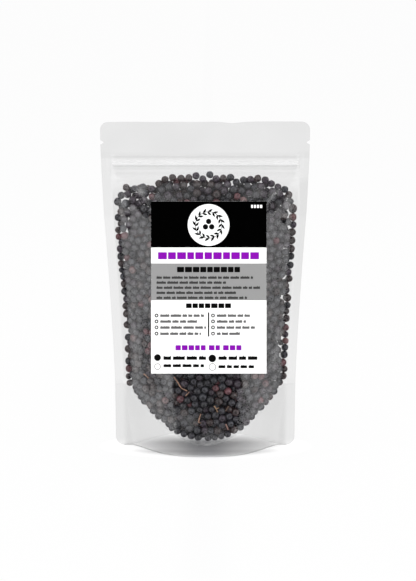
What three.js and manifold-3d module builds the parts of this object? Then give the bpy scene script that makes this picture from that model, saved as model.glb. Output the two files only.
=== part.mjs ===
// A clear stand-up pouch with a press-to-close strip, a folded-in bottom and a
// paper label on its front, filled with loose dried elderberries and a few bits
// of their stalks.
//
// Millimetres, +Z up, front toward -Y. The origin is in the middle of the
// rectangle that the pouch stands on.

import * as THREE from 'three';
import * as BufferGeometryUtils from 'three/addons/utils/BufferGeometryUtils.js';
import Module from 'manifold-3d';

const wasm = await Module();
wasm.setup();

// ---------------------------------------------------------------- dimensions

const HEIGHT = 209.5;        // standing height of the pouch
const FLAT_HALF = 65;        // half of the 130 mm flat width, kept at the mouth
const FILM = 0.25;           // film laminate
const SIDE_SEAL = 5.4;       // welded band along each side
const SKIRT_TOP = 41;        // where the folded bottom ends at the side seals
const CORNER_LOW = 6;        // corner radii
const CORNER_TOP = 5;
const NOTCH_Z = 196;         // tear notches
const NOTCH_HALF = 1.3;
const NOTCH_DEPTH = 2.0;

const ZIP_Z = 183;           // middle of the press-to-close profile
const ZIP_LOW = -8;          // its flanges, from that middle
const ZIP_HIGH = 5.5;
const ZIP_END = 59.2;

const LABEL_X = 2.2;         // middle of the label, a little right of the middle
const LABEL_HALF = 36.2;
const LABEL_LOW = 52.9;
const LABEL_HIGH = 160.9;
const LABEL_THICK = 0.2;
const LABEL_GAP = 0.3;       // glue line

const BERRY_R = 2.2;         // a dried berry, 4.4 mm across
const STALK_R = 0.5;

// ------------------------------------------------------------ shape functions

// Monotone cubic through points, flat beyond its ends.
function curve(points) {
  const x = points.map((p) => p[0]);
  const y = points.map((p) => p[1]);
  const n = x.length;
  const h = [];
  const d = [];
  for (let i = 0; i < n - 1; i++) {
    h.push(x[i + 1] - x[i]);
    d.push((y[i + 1] - y[i]) / h[i]);
  }
  const m = new Array(n).fill(0);
  for (let i = 1; i < n - 1; i++) {
    if (d[i - 1] * d[i] > 0) {
      const w1 = 2 * h[i] + h[i - 1];
      const w2 = h[i] + 2 * h[i - 1];
      m[i] = (w1 + w2) / (w1 / d[i - 1] + w2 / d[i]);
    }
  }
  m[0] = d[0];
  m[n - 1] = d[n - 2];
  return (v) => {
    const q = Math.min(Math.max(v, x[0]), x[n - 1]);
    let i = 0;
    while (i < n - 2 && q >= x[i + 1]) i++;
    const t = (q - x[i]) / h[i];
    return (1 + 2 * t) * (1 - t) ** 2 * y[i] + t * (1 - t) ** 2 * h[i] * m[i]
      + t * t * (3 - 2 * t) * y[i + 1] + t * t * (t - 1) * h[i] * m[i + 1];
  };
}

function smooth(a, b, v) {
  const t = Math.min(Math.max((v - a) / (b - a), 0), 1);
  return t * t * (3 - 2 * t);
}

// Half width of the standing pouch, drawn in where the filling spreads it.
const halfWidth = curve([
  [0, 57.9], [42, 58.0], [60, 58.5], [93, 60.0], [125, 61.75],
  [157, 63.7], [175, 64.4], [190, 64.9], [200, FLAT_HALF], [210, FLAT_HALF],
]);
// How square the cross-section is, and how softly it leaves the side seals.
const squareness = curve([
  [0, 3.0], [20, 2.8], [41, 2.6], [80, 2.6], [110, 2.8], [126, 3.0],
  [142, 3.3], [159, 4.6], [166, 5.5], [175, 5.5], [210, 3.0],
]);
const softness = curve([[0, 1.5], [20, 1.3], [41, 1.12], [94, 1.05], [126, 1.0], [210, 1.0]]);
const bulgeLow = curve([[0, 47.5], [12, 48.5], [25, 50.2], [41, 52.6]]);
const bulgeHalf = (z) => (z < 41 ? bulgeLow(z) : halfWidth(z) - SIDE_SEAL);

// Bulge at the middle of the front and of the back, over the height.
const frontDepth = curve([
  [0, 24.2], [12, 23.4], [25, 23.3], [41, 23.5], [61, 22.6], [78, 21.2], [94, 19.4],
  [110, 17.4], [126, 15.0], [142, 11.9], [150, 10.1], [159, 8.1], [166, 6.6], [171, 4.9],
  [175, 3.0], [178, 1.2], [180.5, 0], [186.5, 0], [194, 0.5], [203, 0.2], [206, 0], [210, 0],
]);
const backDepth = curve([
  [0, 24.2], [12, 23.0], [25, 22.9], [41, 23.3], [61, 22.7], [78, 21.5], [94, 19.7],
  [110, 17.5], [126, 14.8], [142, 11.5], [150, 9.6], [159, 7.6], [166, 6.1], [171, 4.5],
  [175, 2.8], [178, 1.1], [180.5, 0], [186.5, 0], [194, 0.4], [203, 0.2], [206, 0], [210, 0],
]);

const zipPinch = (x) => 1 - 0.58 * smooth(55.6, 59.3, Math.abs(x));

// Half gap between the two panels' inner faces where nothing bulges them: the
// gusset's plies at the bottom, the press-to-close profile near the top.
function flatGap(x, z) {
  return 0.15 + 0.62 * (1 - smooth(41.5, 46, z))
    + 1.35 * zipPinch(x) * smooth(172, 174.6, z) * (1 - smooth(189.2, 192, z))
      * (1 - smooth(60.2, 61.9, Math.abs(x)));
}

function trough(x, z, x0, z0, x1, z1, depth, width) {
  const length = Math.hypot(x1 - x0, z1 - z0);
  const ux = (x1 - x0) / length;
  const uz = (z1 - z0) / length;
  const s = ((x - x0) * ux + (z - z0) * uz) / length;
  const n = -(x - x0) * uz + (z - z0) * ux;
  return depth * smooth(-0.15, 0.3, s) * (1 - smooth(0.6, 1.25, s)) * Math.exp(-((n / width) ** 2));
}

function bulge(x, z, depth) {
  const u = Math.min(Math.abs(x) / bulgeHalf(z), 1);
  return depth(z) * Math.max(1 - u ** squareness(z), 0) ** softness(z);
}

// Distance of each panel's inner face from the middle plane y = 0.
function frontInner(x, z) {
  const b = bulge(x, z, frontDepth);
  const free = smooth(LABEL_HALF - 0.5, LABEL_HALF + 3.5, Math.abs(x - LABEL_X));
  const t = free * (trough(x, z, -48, 167, -33, 147, 2.2, 4.5) + trough(x, z, 49.5, 166, 39, 149, 2.0, 4.5));
  return flatGap(x, z) + Math.max(b - t * Math.min(Math.max(b / 4, 0), 1), 0);
}
function backInner(x, z) {
  return flatGap(x, z) + bulge(x, z, backDepth);
}

// The pouch's outline: rounded corners and a tear notch on each side.
function outlineHalf(z) {
  let w = halfWidth(z);
  if (z < CORNER_LOW) w -= CORNER_LOW - Math.sqrt(Math.max(CORNER_LOW ** 2 - (CORNER_LOW - z) ** 2, 0));
  const top = HEIGHT - z;
  if (top < CORNER_TOP) w -= CORNER_TOP - Math.sqrt(Math.max(CORNER_TOP ** 2 - (CORNER_TOP - top) ** 2, 0));
  const n = Math.abs(z - NOTCH_Z) / NOTCH_HALF;
  if (n < 1) w -= NOTCH_DEPTH * (1 - n);
  return w;
}

// Weld line of the gusset on each panel, and its fold line over the table.
const weldZ = (x) => (Math.abs(x) >= 51 ? SKIRT_TOP : 9.5 + (SKIRT_TOP - 9.5) * (Math.abs(x) / 51) ** 1.55);
const foldZ = (x) => {
  const u = Math.max(Math.abs(x) - 5, 0) / 46;
  return u >= 1 ? SKIRT_TOP : 0.3 + (SKIRT_TOP - 0.3) * u ** 1.35;
};

// ----------------------------------------------------------- mesh construction

function geometry(positions, index) {
  let volume = 0;
  for (let i = 0; i < index.length; i += 3) {
    const [a, b, c] = [0, 1, 2].map((k) => {
      const j = index[i + k] * 3;
      return new THREE.Vector3(positions[j], positions[j + 1], positions[j + 2]);
    });
    volume += a.dot(b.cross(c)) / 6;
  }
  if (volume < 0) {
    for (let i = 0; i < index.length; i += 3) {
      [index[i + 1], index[i + 2]] = [index[i + 2], index[i + 1]];
    }
  }
  const g = new THREE.BufferGeometry();
  g.setAttribute('position', new THREE.Float32BufferAttribute(positions, 3));
  g.setIndex(index);
  return g;
}

// A closed slab between two grids of points of the same size.
function slab(outer, inner) {
  const rows = outer.length;
  const cols = outer[0].length;
  const positions = [];
  for (const grid of [outer, inner]) for (const row of grid) for (const p of row) positions.push(...p);
  const at = (s, i, j) => s * rows * cols + i * cols + j;
  const index = [];
  const quad = (a, b, c, d) => index.push(a, b, c, a, c, d);
  for (let i = 0; i < rows - 1; i++) {
    for (let j = 0; j < cols - 1; j++) {
      quad(at(0, i, j), at(0, i, j + 1), at(0, i + 1, j + 1), at(0, i + 1, j));
      quad(at(1, i, j), at(1, i + 1, j), at(1, i + 1, j + 1), at(1, i, j + 1));
    }
  }
  for (let j = 0; j < cols - 1; j++) {
    quad(at(0, 0, j + 1), at(0, 0, j), at(1, 0, j), at(1, 0, j + 1));
    quad(at(0, rows - 1, j), at(0, rows - 1, j + 1), at(1, rows - 1, j + 1), at(1, rows - 1, j));
  }
  for (let i = 0; i < rows - 1; i++) {
    quad(at(0, i, 0), at(0, i + 1, 0), at(1, i + 1, 0), at(1, i, 0));
    quad(at(0, i + 1, cols - 1), at(0, i, cols - 1), at(1, i, cols - 1), at(1, i + 1, cols - 1));
  }
  return geometry(positions, index);
}

// A solid through closed sections that all have the same number of points. cap
// gives the 2-D shape of a section, for filling the two ends.
function loft(sections, cap) {
  const n = sections[0].length;
  const positions = sections.flat(2);
  const index = [];
  for (let i = 0; i < sections.length - 1; i++) {
    for (let j = 0; j < n; j++) {
      const k = (j + 1) % n;
      index.push(i * n + j, i * n + k, (i + 1) * n + k, i * n + j, (i + 1) * n + k, (i + 1) * n + j);
    }
  }
  const wind = (list) => THREE.ShapeUtils.area(list) > 0;
  [0, sections.length - 1].forEach((i, end) => {
    const flat = sections[i].map(cap);
    const faces = THREE.ShapeUtils.triangulateShape(flat, []);
    for (const [a, b, c] of faces) {
      const up = wind([flat[a], flat[b], flat[c]]) === wind(flat);
      const [p, q, r] = up ? [a, b, c] : [a, c, b];
      if (end === 0) index.push(i * n + p, i * n + r, i * n + q);
      else index.push(i * n + p, i * n + q, i * n + r);
    }
  });
  return geometry(positions, index);
}

function toManifold(g) {
  let m = g.clone();
  for (const name of Object.keys(m.attributes)) if (name !== 'position') m.deleteAttribute(name);
  m = BufferGeometryUtils.mergeVertices(m, 1e-4);
  return new wasm.Manifold(new wasm.Mesh({
    numProp: 3,
    vertProperties: new Float32Array(m.attributes.position.array),
    triVerts: new Uint32Array(m.index.array),
  }));
}

function fromManifold(solid) {
  const mesh = solid.getMesh();
  const g = new THREE.BufferGeometry();
  const positions = [];
  for (let i = 0; i < mesh.numVert; i++) {
    for (let k = 0; k < 3; k++) positions.push(mesh.vertProperties[i * mesh.numProp + k]);
  }
  g.setAttribute('position', new THREE.Float32BufferAttribute(positions, 3));
  g.setIndex(Array.from(mesh.triVerts));
  return g;
}

// ------------------------------------------------------------------ materials

const clearFilm = { color: 0xe9edf0, roughness: 0.12, metalness: 0, transparent: true, opacity: 0.22 };
const film = () => new THREE.MeshStandardMaterial(clearFilm);
const zipMaterial = () => new THREE.MeshStandardMaterial({ ...clearFilm, opacity: 0.4, roughness: 0.25 });
const labelMaterial = () => new THREE.MeshStandardMaterial({ color: 0xf6f6f5, roughness: 0.6 });
const berryMaterial = (tone = 0x1d1a20) => new THREE.MeshStandardMaterial({ color: tone, roughness: 0.55 });
const stalkMaterial = () => new THREE.MeshStandardMaterial({ color: 0xb9763c, roughness: 0.75 });

const pouch = new THREE.Group();
function add(name, g, material) {
  const mesh = new THREE.Mesh(g, material);
  mesh.name = name;
  pouch.add(mesh);
  return mesh;
}

// --------------------------------------------------------------- the two panels

const COLUMNS = [0, 0.18, 0.35, 0.5, 0.63, 0.74, 0.83, 0.9, 0.95, 1];
const SPREAD = [...COLUMNS.slice(1).reverse().map((u) => -u), ...COLUMNS];
const PANEL_ROWS = [
  0, 0.7, 2.4, 6, 13, 21, 30, 37, 41.5, 46, 55, 68, 82, 96, 110, 124, 136, 145, 152, 159, 165, 170,
  172, 174.6, 178, 180.5, 186.5, 189.2, 192, 194.7, 196, 197.3, 201, 205.5, 208, 209.1, HEIGHT,
];

function panelColumns(z) {
  const edge = outlineHalf(z);
  const seal = Math.min(halfWidth(z) - SIDE_SEAL, edge - 1);
  return [
    -edge, -(seal + edge) / 2,
    ...SPREAD.map((u) => (Math.abs(u) === 1 ? u * seal : u * (halfWidth(z) - SIDE_SEAL))),
    (seal + edge) / 2, edge,
  ];
}

function panel(inner, side) {
  const skin = (extra) => PANEL_ROWS.map((z) => panelColumns(z).map((x) => [x, side * (inner(x, z) + extra), z]));
  return slab(skin(FILM), skin(0));
}

add('front_panel', panel(frontInner, -1), film());
add('back_panel', panel(backInner, 1), film());

// ------------------------------------------------------------------- the gusset

// One sheet: welded to the front panel's foot, over the weld line, down to its
// fold in the middle, up to the back panel's weld line and down that panel.

const PLY_GAP = 0.34;
const FOOT_HALF = 5;         // the fold's flat foot on the table, 10 mm long
const WIDE = halfWidth(20) - SIDE_SEAL;
const GUSSET_X = [
  -57.3, -(WIDE + 57.6) / 2,
  ...SPREAD.map((u) => u * WIDE),
  (WIDE + 57.6) / 2, 57.3,
  -FOOT_HALF, FOOT_HALF,
].sort((a, b) => a - b);
const ACROSS = [1, 0.93, 0.8, 0.6, 0.4, 0.2, 0.08];
const SLOPE = 1.25;

// Upper face of the hammock at a share f of the way from the fold to a panel.
function hammock(x, f) {
  const g = Math.max(Math.abs(f) - 0.08, 0) / 0.92;
  return foldZ(x) + (weldZ(x) - foldZ(x)) * g ** SLOPE;
}

function cornerZ(x) {
  const a = Math.abs(x) - (halfWidth(0) - CORNER_LOW);
  return a > 0 ? CORNER_LOW - Math.sqrt(Math.max(CORNER_LOW ** 2 - a ** 2, 0)) + 0.1 : 0;
}

const STEPS = [0, 0.12, 0.32, 0.55, 0.78, 1];
function gussetSection(x) {
  const top = weldZ(x);
  const foot = cornerZ(x);
  const heights = STEPS.map((t) => foot + (top - foot) * t);
  const yOut = (inner, z) => inner(x + 0.5 * Math.sign(x), z) - PLY_GAP;
  const lift = (f, reach) => {
    const df = 0.01;
    const s = (hammock(x, Math.min(Math.abs(f) + df, 1)) - hammock(x, Math.max(Math.abs(f) - df, 0))) / (2 * df * reach);
    return (foldZ(x) < 1 && Math.abs(f) <= 0.08 ? 0.3 : 0.3 * Math.sqrt(1 + s * s));
  };
  const points = [];
  for (const z of heights) points.push([x, -yOut(frontInner, z), z]);
  const reachF = yOut(frontInner, top);
  const reachB = yOut(backInner, top);
  for (const f of ACROSS.slice(1)) points.push([x, -f * reachF, hammock(x, f)]);
  for (const f of [...ACROSS.slice(1)].reverse()) points.push([x, f * reachB, hammock(x, f)]);
  for (const z of [...heights].reverse()) points.push([x, yOut(backInner, z), z]);
  // back again along the inside of the sheet
  const notchB = 1 - FILM / reachB;
  const notchF = 1 - FILM / reachF;
  const under = (f, reach) => hammock(x, f) - lift(f, reach);
  const low = heights.slice(0, -1);
  const inside = ACROSS.slice(2);
  for (const z of low) points.push([x, yOut(backInner, z) - FILM, z]);
  points.push([x, notchB * reachB, under(notchB, reachB)]);
  for (const f of inside) points.push([x, f * notchB * reachB, under(f * notchB, reachB)]);
  for (const f of [...inside].reverse()) points.push([x, -f * notchF * reachF, under(f * notchF, reachF)]);
  points.push([x, -notchF * reachF, under(notchF, reachF)]);
  for (const z of [...low].reverse()) points.push([x, -(yOut(frontInner, z) - FILM), z]);
  return points;
}

add('bottom_gusset', loft(GUSSET_X.map(gussetSection), (p) => new THREE.Vector2(p[1], p[2])), film());

// --------------------------------------------------- the press-to-close strips

const GROOVE = [
  [-1.25, ZIP_LOW], [-1.25, -2.5], [-1.25, 2.4], [-1.25, 3.5], [-1.25, ZIP_HIGH], [-1.0, ZIP_HIGH], [-1.0, 3.5], [-1.0, 2.1],
  [0.45, 2.1], [0.45, 0.75], [0.05, 0.95], [0.0, 1.35], [-0.9, 1.35],
  [-0.9, -1.35], [0.0, -1.35], [0.05, -0.95], [0.45, -0.75], [0.45, -2.1],
  [-1.0, -2.1], [-1.0, -2.5], [-1.0, -5], [-1.0, ZIP_LOW], [-1.25 , ZIP_LOW],
];
GROOVE.pop();
GROOVE.splice(1, 0, [-1.25, -5]);
const RIDGE = [
  [1.25, ZIP_LOW], [1.25, -5], [1.25, -2.5], [1.25, 3.5], [1.25, ZIP_HIGH], [1.0, ZIP_HIGH], [1.0, 3.5], [1.0, 0.45],
  [-0.15, 0.45], [-0.15, 1.05], [-0.6, 0.3], [-0.6, -0.3], [-0.15, -1.05], [-0.15, -0.45],
  [1.0, -0.45], [1.0, -2.5], [1.0, -5], [1.0, ZIP_LOW],
];
const ZIP_X = SPREAD.filter((u) => u === 0 || Math.abs(u) >= 0.5).map((u) => u * ZIP_END);

function strip(profile, depth, side) {
  return loft(
    ZIP_X.map((x) => profile.map(([y, z]) => [
      x, y * zipPinch(x) + side * bulge(x, ZIP_Z + z, depth), ZIP_Z + z,
    ])),
    (p) => new THREE.Vector2(p[1], p[2]),
  );
}
add('zip_groove_strip', strip(GROOVE, frontDepth, -1), zipMaterial());
add('zip_ridge_strip', strip(RIDGE, backDepth, 1), zipMaterial());

// -------------------------------------------------------------------- the label

// The paper stays stiffer than the film, so its lower edge rides up a little in
// the middle of the bulge.
const labelLow = (x) => LABEL_LOW + 1.7 * (1 - ((x - LABEL_X) / LABEL_HALF) ** 2);

// The front panel's inner face as it is meshed.
function meshedFront(x, z) {
  let i = 0;
  while (i < PANEL_ROWS.length - 2 && z >= PANEL_ROWS[i + 1]) i++;
  const along = (row) => {
    const cols = panelColumns(row);
    let j = 0;
    while (j < cols.length - 2 && x >= cols[j + 1]) j++;
    const t = (x - cols[j]) / (cols[j + 1] - cols[j]);
    return (1 - t) * frontInner(cols[j], row) + t * frontInner(cols[j + 1], row);
  };
  const t = (z - PANEL_ROWS[i]) / (PANEL_ROWS[i + 1] - PANEL_ROWS[i]);
  return (1 - t) * along(PANEL_ROWS[i]) + t * along(PANEL_ROWS[i + 1]);
}
const LABEL_COLUMNS = [-0.5, -0.35, -0.18, 0, 0.18, 0.35, 0.5, 0.63];
const LABEL_ROWS = [LABEL_LOW, ...PANEL_ROWS.filter((z) => z > LABEL_LOW + 8 && z < LABEL_HIGH), LABEL_HIGH];
function labelFace(offset) {
  return LABEL_ROWS.map((z) => {
    const wide = halfWidth(z) - SIDE_SEAL;
    return [LABEL_X - LABEL_HALF, ...LABEL_COLUMNS.map((u) => u * wide), LABEL_X + LABEL_HALF].map((x) => {
      const q = z === LABEL_LOW ? labelLow(x) : z;
      return [x, -(meshedFront(x, q) + FILM + LABEL_GAP + offset), q];
    });
  });
}
add('front_label', slab(labelFace(LABEL_THICK), labelFace(0)), labelMaterial());

// ----------------------------------------------------------------- the filling

// Loose berries along the top of the heap: x, y, z.
const TOP_BERRIES = [
  [-52.4, -0.1, 163.7], [-49.3, -0.7, 168.7], [-44.1, -1.5, 167.9], [-38.9, -2.0, 169.2],
  [-33.0, -2.8, 167.9], [-28.9, -1.8, 171.2], [-25.0, -1.8, 173.7], [-20.3, -1.2, 174.8],
  [-15.0, -1.4, 174.5], [-10.2, -1.3, 174.7], [-5.7, -0.5, 175.9], [-1.5, -1.6, 174.2],
  [2.9, -0.1, 176.6], [6.8, -1.6, 174.2], [11.3, -1.3, 174.6], [15.9, -1.0, 175.0],
  [19.4, -1.9, 172.2], [23.8, -1.9, 173.5], [28.3, -1.7, 173.8], [32.8, -1.3, 174.4],
  [37.5, -1.7, 173.4], [41.4, -1.3, 171.1], [45.4, -1.4, 169.0], [49.7, -0.8, 167.4],
  [52.4, -0.1, 163.8],
];

// Bits of stalk against the front panel's inner face: x, z along each one, and a
// side shoot for some.
const STALKS = [
  [[[-38.9, 50.7], [-37.5, 49.9], [-36.0, 48.6]]],
  [[[-19.6, 51.4], [-17.3, 49.3], [-14.8, 45.7], [-11.4, 42.8]], [[-13.4, 44.6], [-12.0, 42.4], [-10.4, 40.2]]],
  [[[-4.6, 28.0], [-3.3, 25.6], [-3.6, 23.4], [-2.6, 21.5]]],
  [[[5.3, 33.6], [6.8, 31.7], [8.8, 29.0]], [[6.9, 31.6], [8.9, 31.9]]],
  [[[13.0, 32.4], [14.5, 29.8]]],
  [[[13.1, 20.8], [14.5, 17.2]]],
];

// A six-sided rod along points, with flat ends.
function rod(points, radius) {
  const p = points.map((q) => new THREE.Vector3(...q));
  const sections = p.map((c, i) => {
    const dir = p[Math.min(i + 1, p.length - 1)].clone().sub(p[Math.max(i - 1, 0)]).normalize();
    const a = new THREE.Vector3(0, 1, 0).cross(dir).normalize();
    const b = dir.clone().cross(a);
    return Array.from({ length: 6 }, (_, k) => {
      const t = (k / 6) * 2 * Math.PI;
      return c.clone().addScaledVector(a, radius * Math.cos(t)).addScaledVector(b, radius * Math.sin(t)).toArray();
    });
  });
  const flat = (_, k) => new THREE.Vector2(Math.cos((k / 6) * 2 * Math.PI), Math.sin((k / 6) * 2 * Math.PI));
  return loft(sections, flat);
}

const STALK_INSET = STALK_R + 0.45;
const stalkPath = (line, grow) => {
  const path = line.map(([x, z]) => [x, -(frontInner(x, z) - STALK_INSET), z]);
  if (!grow) return path;
  const [a, b] = [path[0], path[1]].map((q) => new THREE.Vector3(...q));
  const [y, z] = [path[path.length - 1], path[path.length - 2]].map((q) => new THREE.Vector3(...q));
  path[0] = a.clone().add(a.clone().sub(b).setLength(grow)).toArray();
  path[path.length - 1] = y.clone().add(y.clone().sub(z).setLength(grow)).toArray();
  return path;
};
function stalk(lines, radius, grow) {
  const solids = lines.map((line) => toManifold(rod(stalkPath(line, grow), radius)));
  return solids.reduce((whole, one) => whole.add(one));
}

// The heap: what lies between the panels, over the gusset and under the loose
// berries, with room left for the stalk bits.
const HEAP_GAP = 0.45;
const HEAP_ROWS = PANEL_ROWS.filter((z) => z > 1 && z < 174);
const heapSide = (inner, side) => HEAP_ROWS.map((z) => SPREAD.filter((u) => Math.abs(u) < 0.97)
  .map((u) => {
    const x = u * (halfWidth(z) - SIDE_SEAL);
    return [x, side * (inner(x, z) - HEAP_GAP), z];
  }));
const between = toManifold(slab(heapSide(frontInner, -1), heapSide(backInner, 1)));

const reaches = (x) => [frontInner, backInner].map((inner) => inner(x, weldZ(x)) - PLY_GAP);
const overGusset = (raise) => GUSSET_X.map((x) => {
  const [front, back] = reaches(x);
  const across = [1.3, ...ACROSS];
  return [
    ...across.map((f) => [x, -f * front, raise ?? hammock(x, Math.min(f, 1)) + (f > 1 ? 4 : 0) + 0.4]),
    ...[...across].reverse().map((f) => [x, f * back, raise ?? hammock(x, Math.min(f, 1)) + (f > 1 ? 4 : 0) + 0.4]),
  ];
});
const aboveGusset = toManifold(slab(overGusset(null), overGusset(190)));

const crest = [
  [-60, 140], ...TOP_BERRIES.map(([x, , z]) => [x, z - (Math.abs(x) > 48 ? 6.5 : 3.2)]), [60, 140], [60, -5], [-60, -5],
];
const underCrest = toManifold(loft(
  [-40, 40].map((y) => crest.map(([x, z]) => [x, y, z])),
  (p) => new THREE.Vector2(p[0], p[2]),
));

let heap = between.intersect(aboveGusset).intersect(underCrest);
for (const lines of STALKS) heap = heap.subtract(stalk(lines, STALK_R + 0.45, 0.45));
add('dried_berry_heap', fromManifold(heap), berryMaterial());

TOP_BERRIES.forEach(([x, y, z], i) => {
  const berry = add(
    `loose_berry_${String(i + 1).padStart(2, '0')}`,
    new THREE.IcosahedronGeometry(BERRY_R, 1),
    berryMaterial([0x1d1a20, 0x241c20, 0x4a2a28, 0x18161a][(i * 7) % 4]),
  );
  berry.position.set(x, y, z);
  berry.rotation.set(i * 1.3, i * 0.7, i * 2.1);
});
STALKS.forEach((lines, i) => add(`stalk_bit_${i + 1}`, fromManifold(stalk(lines, STALK_R, 0)), stalkMaterial()));

export default pouch;
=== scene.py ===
# A clear stand-up pouch of dried elderberries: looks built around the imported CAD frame.
# Lengths are in millimetres until a mesh is made, which turns them into metres.
import math

import bpy
import numpy as np
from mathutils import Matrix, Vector


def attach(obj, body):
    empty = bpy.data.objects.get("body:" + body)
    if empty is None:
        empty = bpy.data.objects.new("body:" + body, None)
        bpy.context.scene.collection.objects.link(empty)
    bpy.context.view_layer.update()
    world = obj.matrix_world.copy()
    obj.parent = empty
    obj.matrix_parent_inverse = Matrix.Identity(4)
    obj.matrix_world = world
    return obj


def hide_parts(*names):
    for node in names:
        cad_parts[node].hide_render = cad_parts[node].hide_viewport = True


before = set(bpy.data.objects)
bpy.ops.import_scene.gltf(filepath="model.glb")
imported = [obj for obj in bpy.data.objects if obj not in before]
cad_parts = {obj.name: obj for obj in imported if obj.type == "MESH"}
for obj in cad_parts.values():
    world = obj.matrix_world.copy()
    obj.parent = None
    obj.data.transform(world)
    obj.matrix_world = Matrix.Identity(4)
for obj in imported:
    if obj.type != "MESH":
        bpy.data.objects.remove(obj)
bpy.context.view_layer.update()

MM = 0.001

# ------------------------------------------------------------------ the pouch's shape

HEIGHT = 209.5
SIDE_SEAL = 5.4
SKIRT_TOP = 41.0
CORNER_LOW = 6.0
CORNER_TOP = 5.0
NOTCH_Z, NOTCH_HALF, NOTCH_DEPTH = 196.8, 1.35, 2.1
ZIP_Z, ZIP_END = 183.0, 59.2
LABEL_X, LABEL_HALF = 2.2, 36.2


def curve(points):
    xs = np.array([p[0] for p in points], float)
    ys = np.array([p[1] for p in points], float)
    h = np.diff(xs)
    d = np.diff(ys) / h
    m = np.zeros(len(xs))
    for i in range(1, len(xs) - 1):
        if d[i - 1] * d[i] > 0:
            w1, w2 = 2 * h[i] + h[i - 1], h[i] + 2 * h[i - 1]
            m[i] = (w1 + w2) / (w1 / d[i - 1] + w2 / d[i])
    m[0], m[-1] = d[0], d[-1]

    def f(z):
        zc = np.clip(np.asarray(z, float), xs[0], xs[-1])
        i = np.clip(np.searchsorted(xs, zc, side="right") - 1, 0, len(h) - 1)
        t = (zc - xs[i]) / h[i]
        return (
            (1 + 2 * t) * (1 - t) ** 2 * ys[i]
            + t * (1 - t) ** 2 * h[i] * m[i]
            + t * t * (3 - 2 * t) * ys[i + 1]
            + t * t * (t - 1) * h[i] * m[i + 1]
        )

    return f


def smooth(a, b, v):
    t = np.clip((np.asarray(v, float) - a) / (b - a), 0, 1)
    return t * t * (3 - 2 * t)


half_width = curve([(0, 57.9), (42, 58.0), (60, 58.5), (93, 60.0), (125, 61.75), (157, 63.7), (175, 64.4), (190, 64.9), (200, 65.0), (210, 65.0)])
squareness = curve([(0, 3.0), (20, 2.8), (41, 2.6), (80, 2.6), (110, 2.8), (126, 3.0), (142, 3.3), (159, 4.6), (166, 5.5), (175, 5.5), (210, 3.0)])
softness = curve([(0, 1.5), (20, 1.3), (41, 1.12), (94, 1.05), (126, 1.0), (210, 1.0)])
bulge_low = curve([(0, 47.5), (12, 48.5), (25, 50.2), (41, 52.6)])
front_depth = curve([(0, 24.2), (12, 23.4), (25, 23.3), (41, 23.5), (61, 22.6), (78, 21.2), (94, 19.4), (110, 17.4), (126, 15.0), (142, 11.9), (150, 10.1), (159, 8.1), (166, 6.6), (171, 4.9), (175, 3.0), (178, 1.2), (180.5, 0), (186.5, 0), (194, 0.5), (203, 0.2), (206, 0), (210, 0)])
back_depth = curve([(0, 24.2), (12, 23.0), (25, 22.9), (41, 23.3), (61, 22.7), (78, 21.5), (94, 19.7), (110, 17.5), (126, 14.8), (142, 11.5), (150, 9.6), (159, 7.6), (166, 6.1), (171, 4.5), (175, 2.8), (178, 1.1), (180.5, 0), (186.5, 0), (194, 0.4), (203, 0.2), (206, 0), (210, 0)])


def bulge_half(z):
    z = np.asarray(z, float)
    return np.where(z < 41, bulge_low(z), half_width(z) - SIDE_SEAL)


def zip_pinch(x):
    return 1 - 0.58 * smooth(55.6, 59.3, np.abs(x))


def flat_gap(x, z):
    return (
        0.15
        + 0.62 * (1 - smooth(36, 84, z))
        + 1.35 * zip_pinch(x) * smooth(172, 174.6, z) * (1 - smooth(189.2, 192, z)) * (1 - smooth(60.2, 61.9, np.abs(x)))
    )


def trough(x, z, x0, z0, x1, z1, depth, width, inner_width=None):
    length = np.hypot(x1 - x0, z1 - z0)
    ux, uz = (x1 - x0) / length, (z1 - z0) / length
    s = ((x - x0) * ux + (z - z0) * uz) / length
    n = -(x - x0) * uz + (z - z0) * ux
    if inner_width is not None:  # wider on the side towards the middle of the pouch
        width = np.where(n * np.sign(ux) > 0, inner_width, width)
    return depth * smooth(-0.15, 0.3, s) * (1 - smooth(0.6, 1.25, s)) * np.exp(-((n / width) ** 2))


def lean(x, z):
    """x with the fill's slight shift to one side taken out."""
    right = 0.7 * smooth(41, 50, z) * (1 - smooth(160, 168, z))
    left = 0.75 * smooth(41, 50, z) * (1 - smooth(112, 125, z))
    return x - smooth(5, 45, x) * right - smooth(5, 45, -x) * left


def bulge(x, z, depth):
    u = np.minimum(np.abs(lean(x, z)) / bulge_half(z), 1)
    return depth(z) * np.maximum(1 - u ** squareness(z), 0) ** softness(z)


def front_inner(x, z):
    b = bulge(x, z, front_depth)
    free = np.maximum(smooth(LABEL_HALF - 0.5, LABEL_HALF + 3.5, np.abs(x - LABEL_X)), smooth(161.6, 164.5, z))
    t = free * (trough(x, z, -48, 168.5, -32, 149.5, 0.7, 2.2) + trough(x, z, 49.0, 168.5, 37, 150, 0.6, 2.2))
    return flat_gap(x, z) + np.maximum(b - t * np.clip(b / 4, 0, 1), 0)


def back_inner(x, z):
    return flat_gap(x, z) + bulge(x, z, back_depth)


def outline_half(z):
    z = np.asarray(z, float)
    w = half_width(z)
    low = np.maximum(CORNER_LOW - z, 0)
    w = w - (CORNER_LOW - np.sqrt(np.maximum(CORNER_LOW**2 - low**2, 0)))
    top = np.maximum(CORNER_TOP - (HEIGHT - z), 0)
    w = w - (CORNER_TOP - np.sqrt(np.maximum(CORNER_TOP**2 - top**2, 0)))
    n = np.abs(z - NOTCH_Z) / NOTCH_HALF
    return w - NOTCH_DEPTH * np.maximum(1 - n, 0) ** 0.75


def weld_z(x):
    a = np.abs(x)
    dip = np.where(x < 0, 0.8, 1.5) * np.exp(-(((a - 21) / 9.5) ** 2))
    return np.where(a >= 51, SKIRT_TOP, 9.5 + (SKIRT_TOP - 9.5) * (np.minimum(a, 51) / 51) ** 1.85 - dip)


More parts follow.
